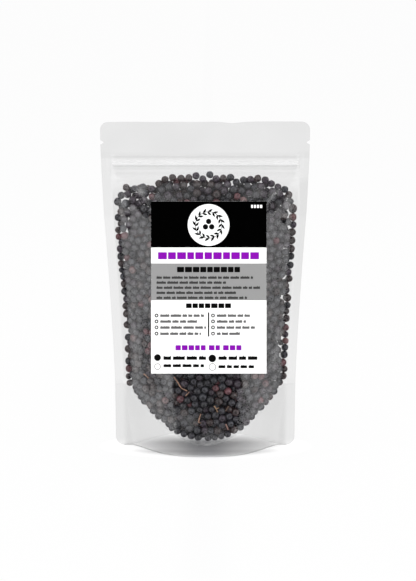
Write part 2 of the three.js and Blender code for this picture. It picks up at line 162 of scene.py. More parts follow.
def fold_z(x):
    u = np.maximum(np.abs(x) - 5, 0) / 46
    return np.where(u >= 1, SKIRT_TOP, 0.3 + (SKIRT_TOP - 0.3) * np.minimum(u, 1) ** 1.35)


def hammock(x, f):
    g = np.maximum(np.abs(f) - 0.08, 0) / 0.92
    return fold_z(x) + (weld_z(x) - fold_z(x)) * g**1.25


# Small relief: slow waves in the open header, puckers along the side seals, a few
# creases where the film turns from flat to full.


def waves(x, z, seed, longest, shortest, count=9):
    rng = np.random.default_rng(seed)
    total = 0
    for _ in range(count):
        length = rng.uniform(shortest, longest)
        a = rng.uniform(0, 2 * math.pi)
        total = total + np.sin(2 * math.pi * (x * math.cos(a) + z * math.sin(a)) / length + rng.uniform(0, 7))
    return total / math.sqrt(count)


def line_bump(x, z, points, height, width, taper=4.0, power=2):
    """A soft ridge (or valley) along a polyline in the panel's plane."""
    best = np.full(np.broadcast(x, z).shape, 1e9)
    along = np.zeros_like(best)
    run = 0.0
    p = np.array(points, float)
    for a, b in zip(p[:-1], p[1:]):
        d = b - a
        length = np.hypot(*d)
        t = np.clip(((x - a[0]) * d[0] + (z - a[1]) * d[1]) / length**2, 0, 1)
        q = np.hypot(x - a[0] - t * d[0], z - a[1] - t * d[1])
        near = q < best
        best = np.where(near, q, best)
        along = np.where(near, run + t * length, along)
        run += length
    ends = smooth(0, taper, along) * (1 - smooth(run - taper, run, along))
    return height * ends * np.exp(-((best / width) ** power))


def sway(x, z):
    """The header's waves, shared by both panels."""
    return 0.42 * waves(x, z, 5, 60, 24) * smooth(188, 202, z) + 0.05 * waves(x, z, 6, 14, 8) * smooth(189, 196, z)


def puckers(x, z, seed):
    inside = half_width(z) - SIDE_SEAL - np.abs(x)
    side = np.where(x < 0, 0.0, 2.1)
    wave = np.sin(2 * math.pi * z / 13.0 + side + seed) + 0.7 * np.sin(2 * math.pi * z / 7.3 + 2 * side + 2 * seed)
    return 0.10 * wave * np.exp(-(((inside - 4.5) / 4.2) ** 2)) * smooth(45, 60, z) * (1 - smooth(160, 172, z))


brim = curve([(40, 0.0), (60, 0.35), (97, 0.9), (117, 1.5), (136, 1.8), (158, 1.6), (168, 0.6), (174, 0.0)])


def edge_fullness(x, z):
    """The film stands up steeply round the outermost berries, then flattens."""
    d = np.maximum(bulge_half(z) - np.abs(lean(x, z)), 0)
    return brim(z) * (1 - np.exp(-d / 3.0)) * (1 - smooth(4, 14.5, d))


def front_relief(x, z):
    r = puckers(x, z, 0.4) + edge_fullness(x, z)
    free = smooth(LABEL_HALF + 0.3, LABEL_HALF + 2.5, np.abs(x - LABEL_X))
    r = r + free * line_bump(x, z, [(-44.6, 92), (-44.2, 70), (-43.2, 52)], 0.42, 1.5, 12)
    r = r + free * line_bump(x, z, [(44.9, 96), (44.3, 74), (43.6, 56)], 0.36, 1.5, 12)
    for s in (-1, 1):
        r = r - line_bump(x, z, [(s * 56, 31), (s * 53, 20.5), (s * 49, 10), (s * 46.5, 4)], 0.22, 1.2, 6)
        r = r + line_bump(x, z, [(s * 53.6, 33), (s * 50.4, 21.5), (s * 46.4, 11)], 0.12, 1.6, 6)
    low = (1 - smooth(48, 56, z)) * smooth(0, 5, z - weld_z(x))
    r = r + low * (0.13 * smooth(8, 16, x) + 0.05 * (1 - smooth(-30, -26, x)) + 0.03) * waves(x, z, 21, 17, 8, 12)
    # sheens under the strip and the rim of each shoulder crease
    r = r + line_bump(x, z, [(-57.5, 174.5), (-50, 170.5), (-44, 167.5)], 0.32, 1.3, 4)
    r = r + line_bump(x, z, [(57.5, 174), (50.5, 170), (46, 168)], 0.26, 1.3, 4)
    return r


def back_relief(x, z):
    r = puckers(x, z, 2.7) + 0.6 * edge_fullness(x, z)
    r = r - line_bump(x, z, [(-46, 166), (-38, 157), (-31, 146)], 0.9, 2.6, 10)
    r = r - line_bump(x, z, [(44, 167), (37, 158), (33, 150)], 0.8, 2.6, 9)
    r = r + line_bump(x, z, [(-12, 163), (-3, 150), (0, 139)], 0.35, 2.0, 9)
    r = r + line_bump(x, z, [(20, 60), (23, 44), (22, 30)], 0.3, 1.8, 9)
    for s in (-1, 1):
        r = r - line_bump(x, z, [(s * 56, 31), (s * 53, 20.5), (s * 49, 10), (s * 46.5, 4)], 0.45, 1.3, 6)
    return r


def front_y(x, z, out):
    """y of the front panel's face, out millimetres outside its inner face."""
    return -(front_inner(x, z) + front_relief(x, z) + out) + sway(x, z)


def back_y(x, z, out):
    return back_inner(x, z) + back_relief(x, z) + out + sway(x, z)


# ------------------------------------------------------------------ the camera's place

FOCAL = 1416.6  # pixels
AIM = np.array([1.78, 0.0, 102.55])
ELEVATION = math.radians(12.5)
EYE = AIM + 900.0 * np.array([0, -math.cos(ELEVATION), math.sin(ELEVATION)])
AHEAD = (AIM - EYE) / 900.0
UP = np.array([0, math.sin(ELEVATION), math.cos(ELEVATION)])


def on_front(px, py, out):
    """The points of the front panel, out millimetres off its inner face, that lie on the lines through these places in the frame."""
    px, py = np.asarray(px, float), np.asarray(py, float)
    d = AHEAD * FOCAL + np.stack([px - 208.0, 0 * px, 0 * px], -1) - np.multiply.outer(py - 290.5, UP)
    x, z = (px - 205.2) / 1.6, (440 - py) / 1.5
    for _ in range(14):
        y = front_y(x, z, out)
        t = (y - EYE[1]) / d[..., 1]
        x, z = EYE[0] + t * d[..., 0], EYE[2] + t * d[..., 2]
    return np.stack([x, y, z], -1)


# ------------------------------------------------------------------ meshes


def build(name, verts, faces, materials, which=None, attributes=None, smooth_faces=True, custom=None):
    """A mesh object from arrays: verts in millimetres, faces a list of index arrays."""
    verts = np.asarray(verts, np.float64) * MM
    faces = [np.asarray(f, np.int64) for f in faces if len(f)]
    me = bpy.data.meshes.new(name)
    me.vertices.add(len(verts))
    me.vertices.foreach_set("co", verts.astype(np.float32).ravel())
    loops = np.concatenate([f.ravel() for f in faces]).astype(np.int32)
    totals = np.concatenate([np.full(len(f), f.shape[1]) for f in faces]).astype(np.int32)
    me.loops.add(len(loops))
    me.loops.foreach_set("vertex_index", loops)
    me.polygons.add(len(totals))
    me.polygons.foreach_set("loop_start", (np.cumsum(totals) - totals).astype(np.int32))
    me.polygons.foreach_set("use_smooth", np.full(len(totals), smooth_faces))
    for m in materials:
        me.materials.append(m)
    if which is not None:
        me.polygons.foreach_set("material_index", np.asarray(which, np.int32))
    me.update(calc_edges=True)
    for key, values in (attributes or {}).items():
        a = me.attributes.new(key, "FLOAT", "POINT")
        a.data.foreach_set("value", np.asarray(values, np.float32).ravel())
    me.validate()
    o = bpy.data.objects.new(name, me)
    bpy.context.scene.collection.objects.link(o)
    return o


def grid_faces(rows, cols, flip=False):
    i, j = np.meshgrid(np.arange(rows - 1), np.arange(cols - 1), indexing="ij")
    a = (i * cols + j).ravel()
    q = np.stack([a, a + 1, a + cols + 1, a + cols], -1)
    return q[:, ::-1] if flip else q


def place(o, slot, *nodes):
    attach(o, "root")
    if nodes:
        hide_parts(*nodes)
    return o


# ------------------------------------------------------------------ materials


class Nodes:
    """Short names for making a node tree."""

    def __init__(self, name):
        self.material = bpy.data.materials.new(name)
        self.material.use_nodes = True
        self.tree = self.material.node_tree
        self.tree.nodes.clear()
        self.out = self.tree.nodes.new("ShaderNodeOutputMaterial")
        self.coord = self.tree.nodes.new("ShaderNodeTexCoord")

    def add(self, kind, **settings):
        n = self.tree.nodes.new(kind)
        for k, v in settings.items():
            if k.startswith("i_"):
                n.inputs[k[2:].replace("_", " ")].default_value = v
            else:
                setattr(n, k, v)
        return n

    def link(self, a, b):
        self.tree.links.new(a, b)

    def noise(self, scale, detail=3, rough=0.5, distortion=0.0, vector=None):
        n = self.add("ShaderNodeTexNoise")
        n.inputs["Scale"].default_value = scale
        n.inputs["Detail"].default_value = detail
        n.inputs["Roughness"].default_value = rough
        n.inputs["Distortion"].default_value = distortion
        self.link(vector or self.coord.outputs["Object"], n.inputs["Vector"])
        return n.outputs["Fac"]

    def voronoi(self, scale, feature="F1"):
        n = self.add("ShaderNodeTexVoronoi", feature=feature)
        n.inputs["Scale"].default_value = scale
        self.link(self.coord.outputs["Object"], n.inputs["Vector"])
        return n.outputs["Distance"]

    def math(self, op, a, b=None, clamp=False):
        n = self.add("ShaderNodeMath", operation=op, use_clamp=clamp)
        for k, v in enumerate((a, b)):
            if v is None:
                continue
            if isinstance(v, (int, float)):
                n.inputs[k].default_value = v
            else:
                self.link(v, n.inputs[k])
        return n.outputs[0]

    def span(self, v, a, b, c, d):
        n = self.add("ShaderNodeMapRange")
        for k, x in zip(("From Min", "From Max", "To Min", "To Max"), (a, b, c, d)):
            n.inputs[k].default_value = x
        self.link(v, n.inputs["Value"])
        return n.outputs["Result"]

    def ramp(self, v, *stops):
        n = self.add("ShaderNodeValToRGB")
        e = n.color_ramp.elements
        while len(e) < len(stops):
            e.new(0.5)
        for k, (p, c) in zip(e, stops):
            k.position = p
            k.color = (*c, 1)
        self.link(v, n.inputs["Fac"])
        return n.outputs["Color"]

    def mix(self, fac, a, b, kind="MIX"):
        n = self.add("ShaderNodeMix", data_type="RGBA", blend_type=kind)
        if isinstance(fac, (int, float)):
            n.inputs[0].default_value = fac
        else:
            self.link(fac, n.inputs[0])
        for k, v in ((6, a), (7, b)):
            if isinstance(v, tuple):
                n.inputs[k].default_value = (*v, 1)
            else:
                self.link(v, n.inputs[k])
        return n.outputs[2]

    def bump(self, height, strength, distance):
        n = self.add("ShaderNodeBump")
        n.inputs["Strength"].default_value = strength
        n.inputs["Distance"].default_value = distance
        self.link(height, n.inputs["Height"])
        return n.outputs["Normal"]

    def attribute(self, name):
        n = self.add("ShaderNodeAttribute", attribute_name=name)
        return n.outputs["Fac"]

    def principled(self, colour=None, roughness=None, normal=None, **fixed):
        p = self.add("ShaderNodeBsdfPrincipled")
        if isinstance(colour, tuple):
            p.inputs["Base Color"].default_value = (*colour, 1)
        elif colour is not None:
            self.link(colour, p.inputs["Base Color"])
        if isinstance(roughness, (int, float)):
            p.inputs["Roughness"].default_value = roughness
        elif roughness is not None:
            self.link(roughness, p.inputs["Roughness"])
        if normal is not None:
            self.link(normal, p.inputs["Normal"])
        for k, v in fixed.items():
            p.inputs[k.replace("_", " ")].default_value = v
        return p


def film_material(name, f0, roughness, metal, passes, edge=0.85, power=4.6):
    """Clear laminate: what is behind it shows through, less what the sheet mirrors, which grows towards grazing.

    Painted on the mesh: mirror scales the mirroring, so it paints where reflections show and where they are taken away;
    milk_and_painted_sheen is a milky white mixed in, milky film at the welds and elsewhere painted sheens and painted
    light; ply takes light where sheets are welded together."""
    n = Nodes(name)
    mirror, milk_and_painted_sheen, ply = n.attribute("mirror"), n.attribute("milk_and_painted_sheen"), n.attribute("ply")
    facing = n.add("ShaderNodeLayerWeight")
    facing.inputs["Blend"].default_value = 0.5
    rise = n.math("POWER", facing.outputs["Facing"], power)
    gloss = n.math("MULTIPLY", n.math("ADD", n.math("MULTIPLY", rise, edge - f0), f0), mirror)
    cloud = n.noise(48, 3)
    gloss = n.math("MULTIPLY", gloss, n.span(cloud, 0.3, 0.7, 0.94, 1.06), clamp=True)
    fac = n.math("ADD", gloss, milk_and_painted_sheen, clamp=True)
    smear = n.noise(70, 3)
    rough = n.span(smear, 0.3, 0.7, roughness * 0.8, roughness * 1.25)
    metallic = n.math("MULTIPLY", n.math("SUBTRACT", 1.0, n.math("DIVIDE", milk_and_painted_sheen, n.math("ADD", fac, 0.0005)), clamp=True), metal)
    p = n.principled((0.945, 0.95, 0.955), rough)
    n.link(metallic, p.inputs["Metallic"])
    p.inputs["Specular IOR Level"].default_value = 0.2
    t = n.add("ShaderNodeBsdfTransparent")
    haze_bank = n.noise(26, 2)
    clear = n.mix(n.span(haze_bank, 0.35, 0.65, 0, 1), tuple(c * 0.993 for c in passes), tuple(min(c * 1.007, 1) for c in passes))
    n.link(n.mix(ply, clear, tuple(c * 0.915 for c in passes)), t.inputs["Color"])
    m = n.add("ShaderNodeMixShader")
    n.link(fac, m.inputs[0])
    n.link(t.outputs[0], m.inputs[1])
    n.link(p.outputs[0], m.inputs[2])
    n.link(m.outputs[0], n.out.inputs["Surface"])
    return n.material


def zip_material(name, f0, bands):
    """Milky strip: bands are heights in metres, how much light passes there and how milky it is; the dimmer bands are
    painted shade for the dark lines of the grooves.
    """
    n = Nodes(name)
    fade = n.attribute("fade")
    split = n.add("ShaderNodeSeparateXYZ")
    n.link(n.coord.outputs["Object"], split.inputs[0])
    low, high = bands[0][0], bands[-1][0]
    where = n.span(split.outputs["Z"], low, high, 0.0, 1.0)
    wobble = n.noise(30, 2)
    where = n.math("ADD", where, n.span(wobble, 0.3, 0.7, -0.008, 0.008))
    place_of = lambda h: (h - low) / (high - low)
    through = n.ramp(where, *[(place_of(h), (v, v, v)) for h, v, m in bands])
    milky = n.ramp(where, *[(place_of(h), (m, m, m)) for h, v, m in bands])
    smear = n.noise(300, 3)
    grey = n.add("ShaderNodeRGBToBW")
    n.link(milky, grey.inputs[0])
    fac = n.math("MULTIPLY", n.math("MULTIPLY", grey.outputs[0], n.span(smear, 0.3, 0.7, 0.92, 1.08)), fade)
    facing = n.add("ShaderNodeLayerWeight")
    facing.inputs["Blend"].default_value = 0.5
    fac = n.math("ADD", fac, n.math("MULTIPLY", n.math("POWER", facing.outputs["Facing"], 5.0), 0.35), clamp=True)
    fac = n.math("ADD", fac, f0, clamp=True)
    p = n.principled((0.95, 0.955, 0.96), n.span(smear, 0.3, 0.7, 0.3, 0.4))
    t = n.add("ShaderNodeBsdfTransparent")
    n.link(n.mix(fade, (0.99, 0.99, 0.99), through), t.inputs["Color"])
    m = n.add("ShaderNodeMixShader")
    n.link(fac, m.inputs[0])
    n.link(t.outputs[0], m.inputs[1])
    n.link(p.outputs[0], m.inputs[2])
    n.link(m.outputs[0], n.out.inputs["Surface"])
    return n.material


def berry_material(name, dark, light, bloom_and_ring_colour, sheen, tint, low=0.33, high=0.50):
    """A dried berry's skin: a dark tone that shifts from berry to berry, a pale bloom on the high spots and fine
    wrinkles, a painted ring highlight round the crown scar, the scar itself darker, partly its own colour and partly
    painted shade in its pit, a coloured rim.
    """
    n = Nodes(name)
    scar, painted_ring_highlight = n.attribute("scar"), n.attribute("painted_ring_highlight")
    tone = n.noise(190, 2)
    skin = n.mix(n.span(tone, 0.32, 0.68, 0, 1), dark, light)
    speck = n.noise(1400, 4, 0.6)
    bloom = n.noise(420, 3)
    bloom_and_ring_highlight = n.math("MULTIPLY", n.span(speck, 0.45, 0.7, 0, 1), n.span(bloom, 0.4, 0.7, 0, 1))
    # the bloom's pale colour also paints the ring highlight round the crown
    bloom_and_ring_highlight = n.math("ADD", n.math("MULTIPLY", bloom_and_ring_highlight, 0.45), n.math("MULTIPLY", painted_ring_highlight, 0.48), clamp=True)
    colour = n.mix(bloom_and_ring_highlight, skin, bloom_and_ring_colour)
    # the crown scar: partly its own darker colour, partly painted shade in the pit
    colour = n.mix(n.math("MULTIPLY", scar, 0.9, clamp=True), colour, tuple(0.3 * c for c in dark))
    wrinkle = n.noise(1150, 3, 0.55, 1.2)
    cell = n.voronoi(900)
    height = n.math("ADD", n.math("MULTIPLY", wrinkle, 0.8), n.math("MULTIPLY", cell, 0.5))
    normal = n.bump(height, 0.4, 0.0002)
    rough = n.math("ADD", n.span(bloom, 0.3, 0.7, low, high), n.math("MULTIPLY", scar, 0.5), clamp=True)
    p = n.principled(colour, rough, normal)
    p.inputs["Specular IOR Level"].default_value = 0.62
    p.inputs["Sheen Weight"].default_value = sheen
    p.inputs["Sheen Roughness"].default_value = 0.3
    p.inputs["Sheen Tint"].default_value = (*tint, 1)
    n.link(p.outputs[0], n.out.inputs["Surface"])
    return n.material


def print_material(name, colour, roughness, grain=0.03, level=0.35):
    """Coated paper or ink on it: a faint mottle, a fine tooth."""
    n = Nodes(name)
    mottle = n.noise(240, 4)
    fibre = n.noise(2600, 3)
    low = tuple(c * (1 - grain) for c in colour)
    tone = n.mix(n.span(mottle, 0.3, 0.7, 0, 1), low, colour)
    normal = n.bump(fibre, 0.15, 0.00004)
    rough = n.span(mottle, 0.3, 0.7, roughness - 0.05, roughness + 0.05)
    p = n.principled(tone, rough, normal)
    p.inputs["Specular IOR Level"].default_value = level
    n.link(p.outputs[0], n.out.inputs["Surface"])
    return n.material


def stalk_material(name, dark, middle, pale):
    n = Nodes(name)
    long = n.noise(500, 4, 0.6)
    fleck = n.noise(2200, 3)
    tone = n.ramp(long, (0.3, dark), (0.55, middle), (0.75, pale))
    tone = n.mix(n.span(fleck, 0.55, 0.75, 0, 0.6), tone, tuple(0.6 * c for c in dark))
    normal = n.bump(fleck, 0.6, 0.0001)
    p = n.principled(tone, n.span(fleck, 0.3, 0.7, 0.6, 0.85), normal)
    n.link(p.outputs[0], n.out.inputs["Surface"])
    return n.material


FILM = film_material("clear_film", 0.057, 0.06, 0.95, (0.930, 0.930, 0.930))
GUSSET = film_material("gusset_film", 0.035, 0.09, 0.9, (0.975, 0.977, 0.98), 0.25, 5.0)
# the dips in the second number are painted shade for the grooves' dark lines
ZIP = zip_material("zip_strip", 0.004, [
    (0.1749, 0.992, 0.0), (0.1764, 0.985, 0.0), (0.1773, 0.965, 0.0), (0.1780, 0.97, 0.0), (0.1786, 0.99, 0.01), (0.1793, 0.985, 0.005),
    (0.1799, 0.962, 0.0), (0.1818, 0.958, 0.0), (0.1825, 0.97, 0.04), (0.1829, 0.985, 0.135), (0.1848, 0.99, 0.17), (0.1856, 0.99, 0.12),
    (0.1863, 0.99, 0.02), (0.1870, 0.98, 0.0), (0.1877, 0.96, 0.0), (0.1884, 0.985, 0.0),
])

# ------------------------------------------------------------------ the berries' places

TOP = [
    (-52.4, -0.1, 163.7), (-49.3, -0.7, 168.7), (-44.1, -1.5, 167.9), (-38.9, -2.0, 169.2), (-33.0, -2.8, 167.9),
    (-28.9, -1.8, 171.2), (-25.0, -1.8, 173.7), (-20.3, -1.2, 174.8), (-15.0, -1.4, 174.5), (-10.2, -1.3, 174.7),
    (-5.7, -0.5, 175.9), (-1.5, -1.6, 174.2), (2.9, -0.1, 176.6), (6.8, -1.6, 174.2), (11.3, -1.3, 174.6),
    (15.9, -1.0, 175.0), (19.4, -1.9, 172.2), (23.8, -1.9, 173.5), (28.3, -1.7, 173.8), (32.8, -1.3, 174.4),
    (37.5, -1.7, 173.4), (41.4, -1.3, 171.1), (45.4, -1.4, 169.0), (49.7, -0.8, 167.4), (52.4, -0.1, 163.8),
]
STALKS = [
    [[(-38.9, 50.7), (-37.5, 49.9), (-36.0, 48.6)]],
    [[(-19.6, 51.4), (-17.4, 48.4), (-14.9, 44.4), (-11.3, 43.0)], [(-10.1, 42.2), (-11.2, 40.9), (-12.3, 39.6)]],
    [[(-2.8, 27.9), (-3.6, 25.4), (-4.2, 22.4)], [(-4.1, 22.3), (-2.7, 22.0)]],
    [[(5.7, 33.2), (6.9, 31.3), (7.8, 29.0)], [(6.9, 31.3), (8.6, 31.9)]],
    [[(14.7, 32.7), (13.9, 31.4), (12.9, 29.6)]],
    [[(13.1, 20.8), (14.5, 17.2)]],
]


class Field:
    """A function of two numbers on a grid, with its slopes."""

    def __init__(self, f, u0, u1, v0, v1, h=0.75):
        self.u0, self.v0, self.h = u0, v0, h
        u, v = np.arange(u0, u1 + h, h), np.arange(v0, v1 + h, h)
        self.nu, self.nv = len(u), len(v)
        U, VV = np.meshgrid(u, v, indexing="ij")
        self.value = f(U, VV)
        self.gu, self.gv = np.gradient(self.value, h, axis=0), np.gradient(self.value, h, axis=1)

    def __call__(self, u, v):
        a = np.clip((u - self.u0) / self.h, 0, self.nu - 1.001)
        b = np.clip((v - self.v0) / self.h, 0, self.nv - 1.001)
        i, j = a.astype(int), b.astype(int)
        s, t = a - i, b - j
        return [
            g[i, j] * (1 - s) * (1 - t) + g[i + 1, j] * s * (1 - t) + g[i, j + 1] * (1 - s) * t + g[i + 1, j + 1] * s * t
            for g in (self.value, self.gu, self.gv)
        ]


def floor_height(x, y):
    """The lowest the fruit hangs: it bridges the fold of the gusset instead of filling it."""
    w = weld_z(x)
    r = np.where(y < 0, front_inner(x, w), back_inner(x, w)) - 0.5
    f = np.abs(y) / np.maximum(r, 0.2)
    h = hammock(x, np.minimum(f, 1)) + np.maximum(f - 1, 0) * r * 1.2 + 0.45
    bridge = w - 0.3 + 0.10 * np.maximum(np.minimum(r - np.abs(y), 9), 0)
    return np.where(np.abs(x) > 51.5, SKIRT_TOP + 0.5, np.maximum(h, bridge))


WALL_F = Field(lambda x, z: front_inner(x, z) + front_relief(x, z) - 0.1, -66, 66, 0, 180)
WALL_B = Field(lambda x, z: back_inner(x, z) + back_relief(x, z) - 0.1, -66, 66, 0, 180)
FLOOR = Field(floor_height, -60, 60, -30, 30)


def clearances(p, r):
    v, gx, gz = WALL_F(p[:, 0], p[:, 2])
    f = (v + p[:, 1]) / np.sqrt(1 + gx * gx + gz * gz) - r
    v, gx, gz = WALL_B(p[:, 0], p[:, 2])
    b = (v - p[:, 1]) / np.sqrt(1 + gx * gx + gz * gz) - r
    v, gx, gy = FLOOR(p[:, 0], p[:, 1])
    h = (p[:, 2] - v) / np.sqrt(1 + gx * gx + gy * gy) - r
    return f, b, h


top = np.array(TOP)
crest_x = np.concatenate([[-60], top[:, 0], [60]])
crest_z = np.concatenate([[155], top[:, 2], [155]])
order = np.argsort(crest_x)
crest_x, crest_z = crest_x[order], crest_z[order]


def crest(x):
    return np.interp(x, crest_x, crest_z) - 1.4


def settle(share=0.60, seed=7, rounds=170):
    """Spheres of the berries' sizes pushed apart inside the film until they sit side by side."""
    rng = np.random.default_rng(seed)
    p = np.stack([rng.uniform(-60, 60, 400000), rng.uniform(-26, 26, 400000), rng.uniform(0, 178, 400000)], -1)
    f, b, h = clearances(p, 0.0)
    inside = (f > 0) & (b > 0) & (h > 0) & (p[:, 2] < crest(p[:, 0]) + 2) & (np.abs(p[:, 0]) < bulge_half(p[:, 2]))
    volume = inside.mean() * 120 * 52 * 178
    mean = 2.37
    count = int(share * volume / (4 / 3 * math.pi * mean**3 * 1.02))
    p = p[inside]
    high = p[p[:, 2] > crest(p[:, 0]) - 9]
    extra = int(0.10 * count * len(high) / len(p))
    p = np.concatenate([p[rng.choice(len(p), count, replace=False)], high[rng.choice(len(high), extra, replace=False)]])
    count += extra
    r = np.clip(rng.normal(mean, 0.17, count), 1.9, 2.8)
    held = [(x, y, z, 2.27) for x, y, z in TOP]
    for branches in STALKS:
        for line in branches:
            q = np.array(line, float)
            s = np.concatenate([[0], np.cumsum(np.hypot(*np.diff(q, axis=0).T))])
            for t in np.arange(0, s[-1] + 0.6, 1.1):
                x, z = np.interp(t, s, q[:, 0]), np.interp(t, s, q[:, 1])
                held.append((x, -(float(front_inner(x, z)) - 0.95), z, 0.75))
    held = np.array(held)
    pos = np.concatenate([held[:, :3], p])
    r = np.concatenate([held[:, 3], r])
    fixed, n = len(held), len(pos)
    free = np.ones(n)
    free[:fixed] = 0
    cell = 5.8
    pi = pj = None
    neighbours = [(0, 0, 0), (1, 0, 0), (0, 1, 0), (0, 0, 1), (1, 1, 0), (1, -1, 0), (1, 0, 1), (1, 0, -1), (0, 1, 1), (0, 1, -1), (1, 1, 1), (1, 1, -1), (1, -1, 1), (1, -1, -1)]

    def keep_in(rr):
        for field, side in ((WALL_F, -1), (WALL_B, 1)):
            v, gx, gz = field(pos[:, 0], pos[:, 2])
            k = np.sqrt(1 + gx * gx + gz * gz)
            d = (v - side * pos[:, 1]) / k - rr
            c = np.where(d < 0, -d, 0) * free
            pos[:, 0] += gx / k * c
            pos[:, 1] -= side / k * c
            pos[:, 2] += gz / k * c
        v, gx, gy = FLOOR(pos[:, 0], pos[:, 1])
        k = np.sqrt(1 + gx * gx + gy * gy)
        d = (pos[:, 2] - v) / k - rr
        c = np.where(d < 0, -d, 0) * free
        pos[:, 0] -= gx / k * c
        pos[:, 1] -= gy / k * c
        pos[:, 2] += c / k
        over = (pos[:, 2] > crest(pos[:, 0])) & (free > 0)
        pos[over, 2] -= 0.6 * (pos[over, 2] - crest(pos[over, 0]))

    for it in range(rounds):
        rr = r * min(1.0, 0.62 + 0.38 * it / 60)
        rr[:fixed] = r[:fixed]
        if it % 4 == 0:
            c = np.floor((pos - pos.min(0)) / cell).astype(np.int64)
            dims = c.max(0) + 3
            key = ((c[:, 0] + 1) * dims[1] + (c[:, 1] + 1)) * dims[2] + (c[:, 2] + 1)
            by = np.argsort(key, kind="stable")
            ks = key[by]
            I, J = [], []
            for ox, oy, oz in neighbours:
                k2 = ks + (ox * dims[1] + oy) * dims[2] + oz
                a, b = np.searchsorted(ks, k2, "left"), np.searchsorted(ks, k2, "right")
                if (ox, oy, oz) == (0, 0, 0):
                    a = np.minimum(np.arange(len(ks)) + 1, b)
                cnt = b - a
                src = np.repeat(np.arange(len(ks)), cnt)
                if not len(src):
                    continue
                dst = np.repeat(a, cnt) + np.arange(len(src)) - np.repeat(np.cumsum(cnt) - cnt, cnt)
                I.append(by[src])
                J.append(by[dst])
            I, J = np.concatenate(I), np.concatenate(J)
            d = pos[I] - pos[J]
            near = np.einsum("ij,ij->i", d, d) < 6.6**2
            pi, pj = I[near], J[near]
        for _ in range(2):
            d = pos[pi] - pos[pj]
            dist = np.sqrt(np.einsum("ij,ij->i", d, d)) + 1e-9
            over = rr[pi] + rr[pj] - dist
            hit = over > 0
            a, b = pi[hit], pj[hit]
            share_a = free[a] / np.maximum(free[a] + free[b], 1)
            share_b = free[b] / np.maximum(free[a] + free[b], 1)
            push = d[hit] / dist[hit, None] * over[hit][:, None]
            move = np.stack([np.bincount(a, push[:, ax] * share_a, n) - np.bincount(b, push[:, ax] * share_b, n) for ax in range(3)], -1)
            touches = np.bincount(a, minlength=n) + np.bincount(b, minlength=n)
            pos += move * (1.6 / np.maximum(touches, 1.6))[:, None]
            keep_in(rr)
        if it < 120:
            pos[fixed:, 2] -= 0.02
    return pos[fixed:], r[fixed:]


places, radii = settle()
# gaps that the shaking down left: by the left shoulder, beside the outermost columns, under the crest
bx, bz = places[:, 0], places[:, 2]
by_side = bulge_half(bz) - np.abs(lean(bx, bz))
odds = np.where((bx < -47.5) & (bz > 144) & (bz < 164) & (by_side > 5), 0.20, 0.0)
odds = np.maximum(odds, np.where((by_side > 4.4) & (by_side < 8.5) & (bz > 50) & (bz < 160), 0.16, 0.0))
odds = np.maximum(odds, np.where((crest(bx) - bz < 3.4) & (bx > -47.5) & (bx < -40.5), 0.24, 0.0))
odds = np.maximum(odds, np.where((crest(bx) - bz < 4.5) & (np.abs(bx) < 40), 0.12, 0.0))
odds = np.where((bx > 40) & (bz > 76) & (bz < 94), 0.0, odds)
keep = np.random.default_rng(35).random(len(places)) >= odds
places, radii = places[keep], radii[keep]
cf, cb, ch = clearances(places, radii)


def pressed(x, z, touching):
    """Where a panel lies on a berry: 1 over the berry's middle, falling to 0 between berries."""
    u, v = x.ravel(), z.ravel()
    out = np.zeros(u.size)
    for k in range(0, u.size, 3000):
        part = slice(k, k + 3000)
        d2 = (u[part, None] - places[touching, 0]) ** 2 + (v[part, None] - places[touching, 2]) ** 2
        out[part] = np.exp(-d2 / 1.75**2).max(1)
    return out.reshape(x.shape)



# ------------------------------------------------------------------ the two panels


def panel_rows():
    parts = [
        np.arange(0, 6, 0.5), np.arange(6, 168, 1.1), np.arange(168, 190, 0.5),
        np.arange(190, 194.6, 0.9), np.arange(195.3, 198.3, 0.165), np.arange(198.6, 204, 0.8), np.linspace(204.3, HEIGHT, 16),
    ]
    return np.unique(np.round(np.concatenate(parts), 4))


def panel_grid(z_rows, inside=49):
    xs = []
    t = np.linspace(-1, 1, 2 * inside + 1)
    t = np.sign(t) * (1 - (1 - np.abs(t)) ** 1.15)  # closer together towards the seals
    for z in z_rows:
        edge = float(outline_half(z))
        seal = min(float(half_width(z)) - SIDE_SEAL, edge - 1.2)
        outer = np.array([0.06, 0.14, 0.3, 0.5, 0.7, 0.86, 0.95, 1.0])
        out = seal + (edge - seal) * outer
        xs.append(np.concatenate([-out[::-1], t * seal, out]))
    x = np.array(xs)
    z = np.repeat(z_rows[:, None], x.shape[1], 1)
    return x, z


def top_edge(x, z):
    """The cut along the mouth isn't quite straight."""
    d = -0.75 * np.exp(-(((x - 16.5) / 5.5) ** 2)) + 0.3 * np.exp(-(((x - 45) / 13) ** 2)) + 0.06 * np.sin(x / 4.1)
    return d * smooth(198, HEIGHT, z)


def trace(*places):
    """The panel's x and z at places in the frame."""
    p = on_front([q[0] for q in places], [q[1] for q in places], 0.16)
    return [(float(v[0]), float(v[2])) for v in p]
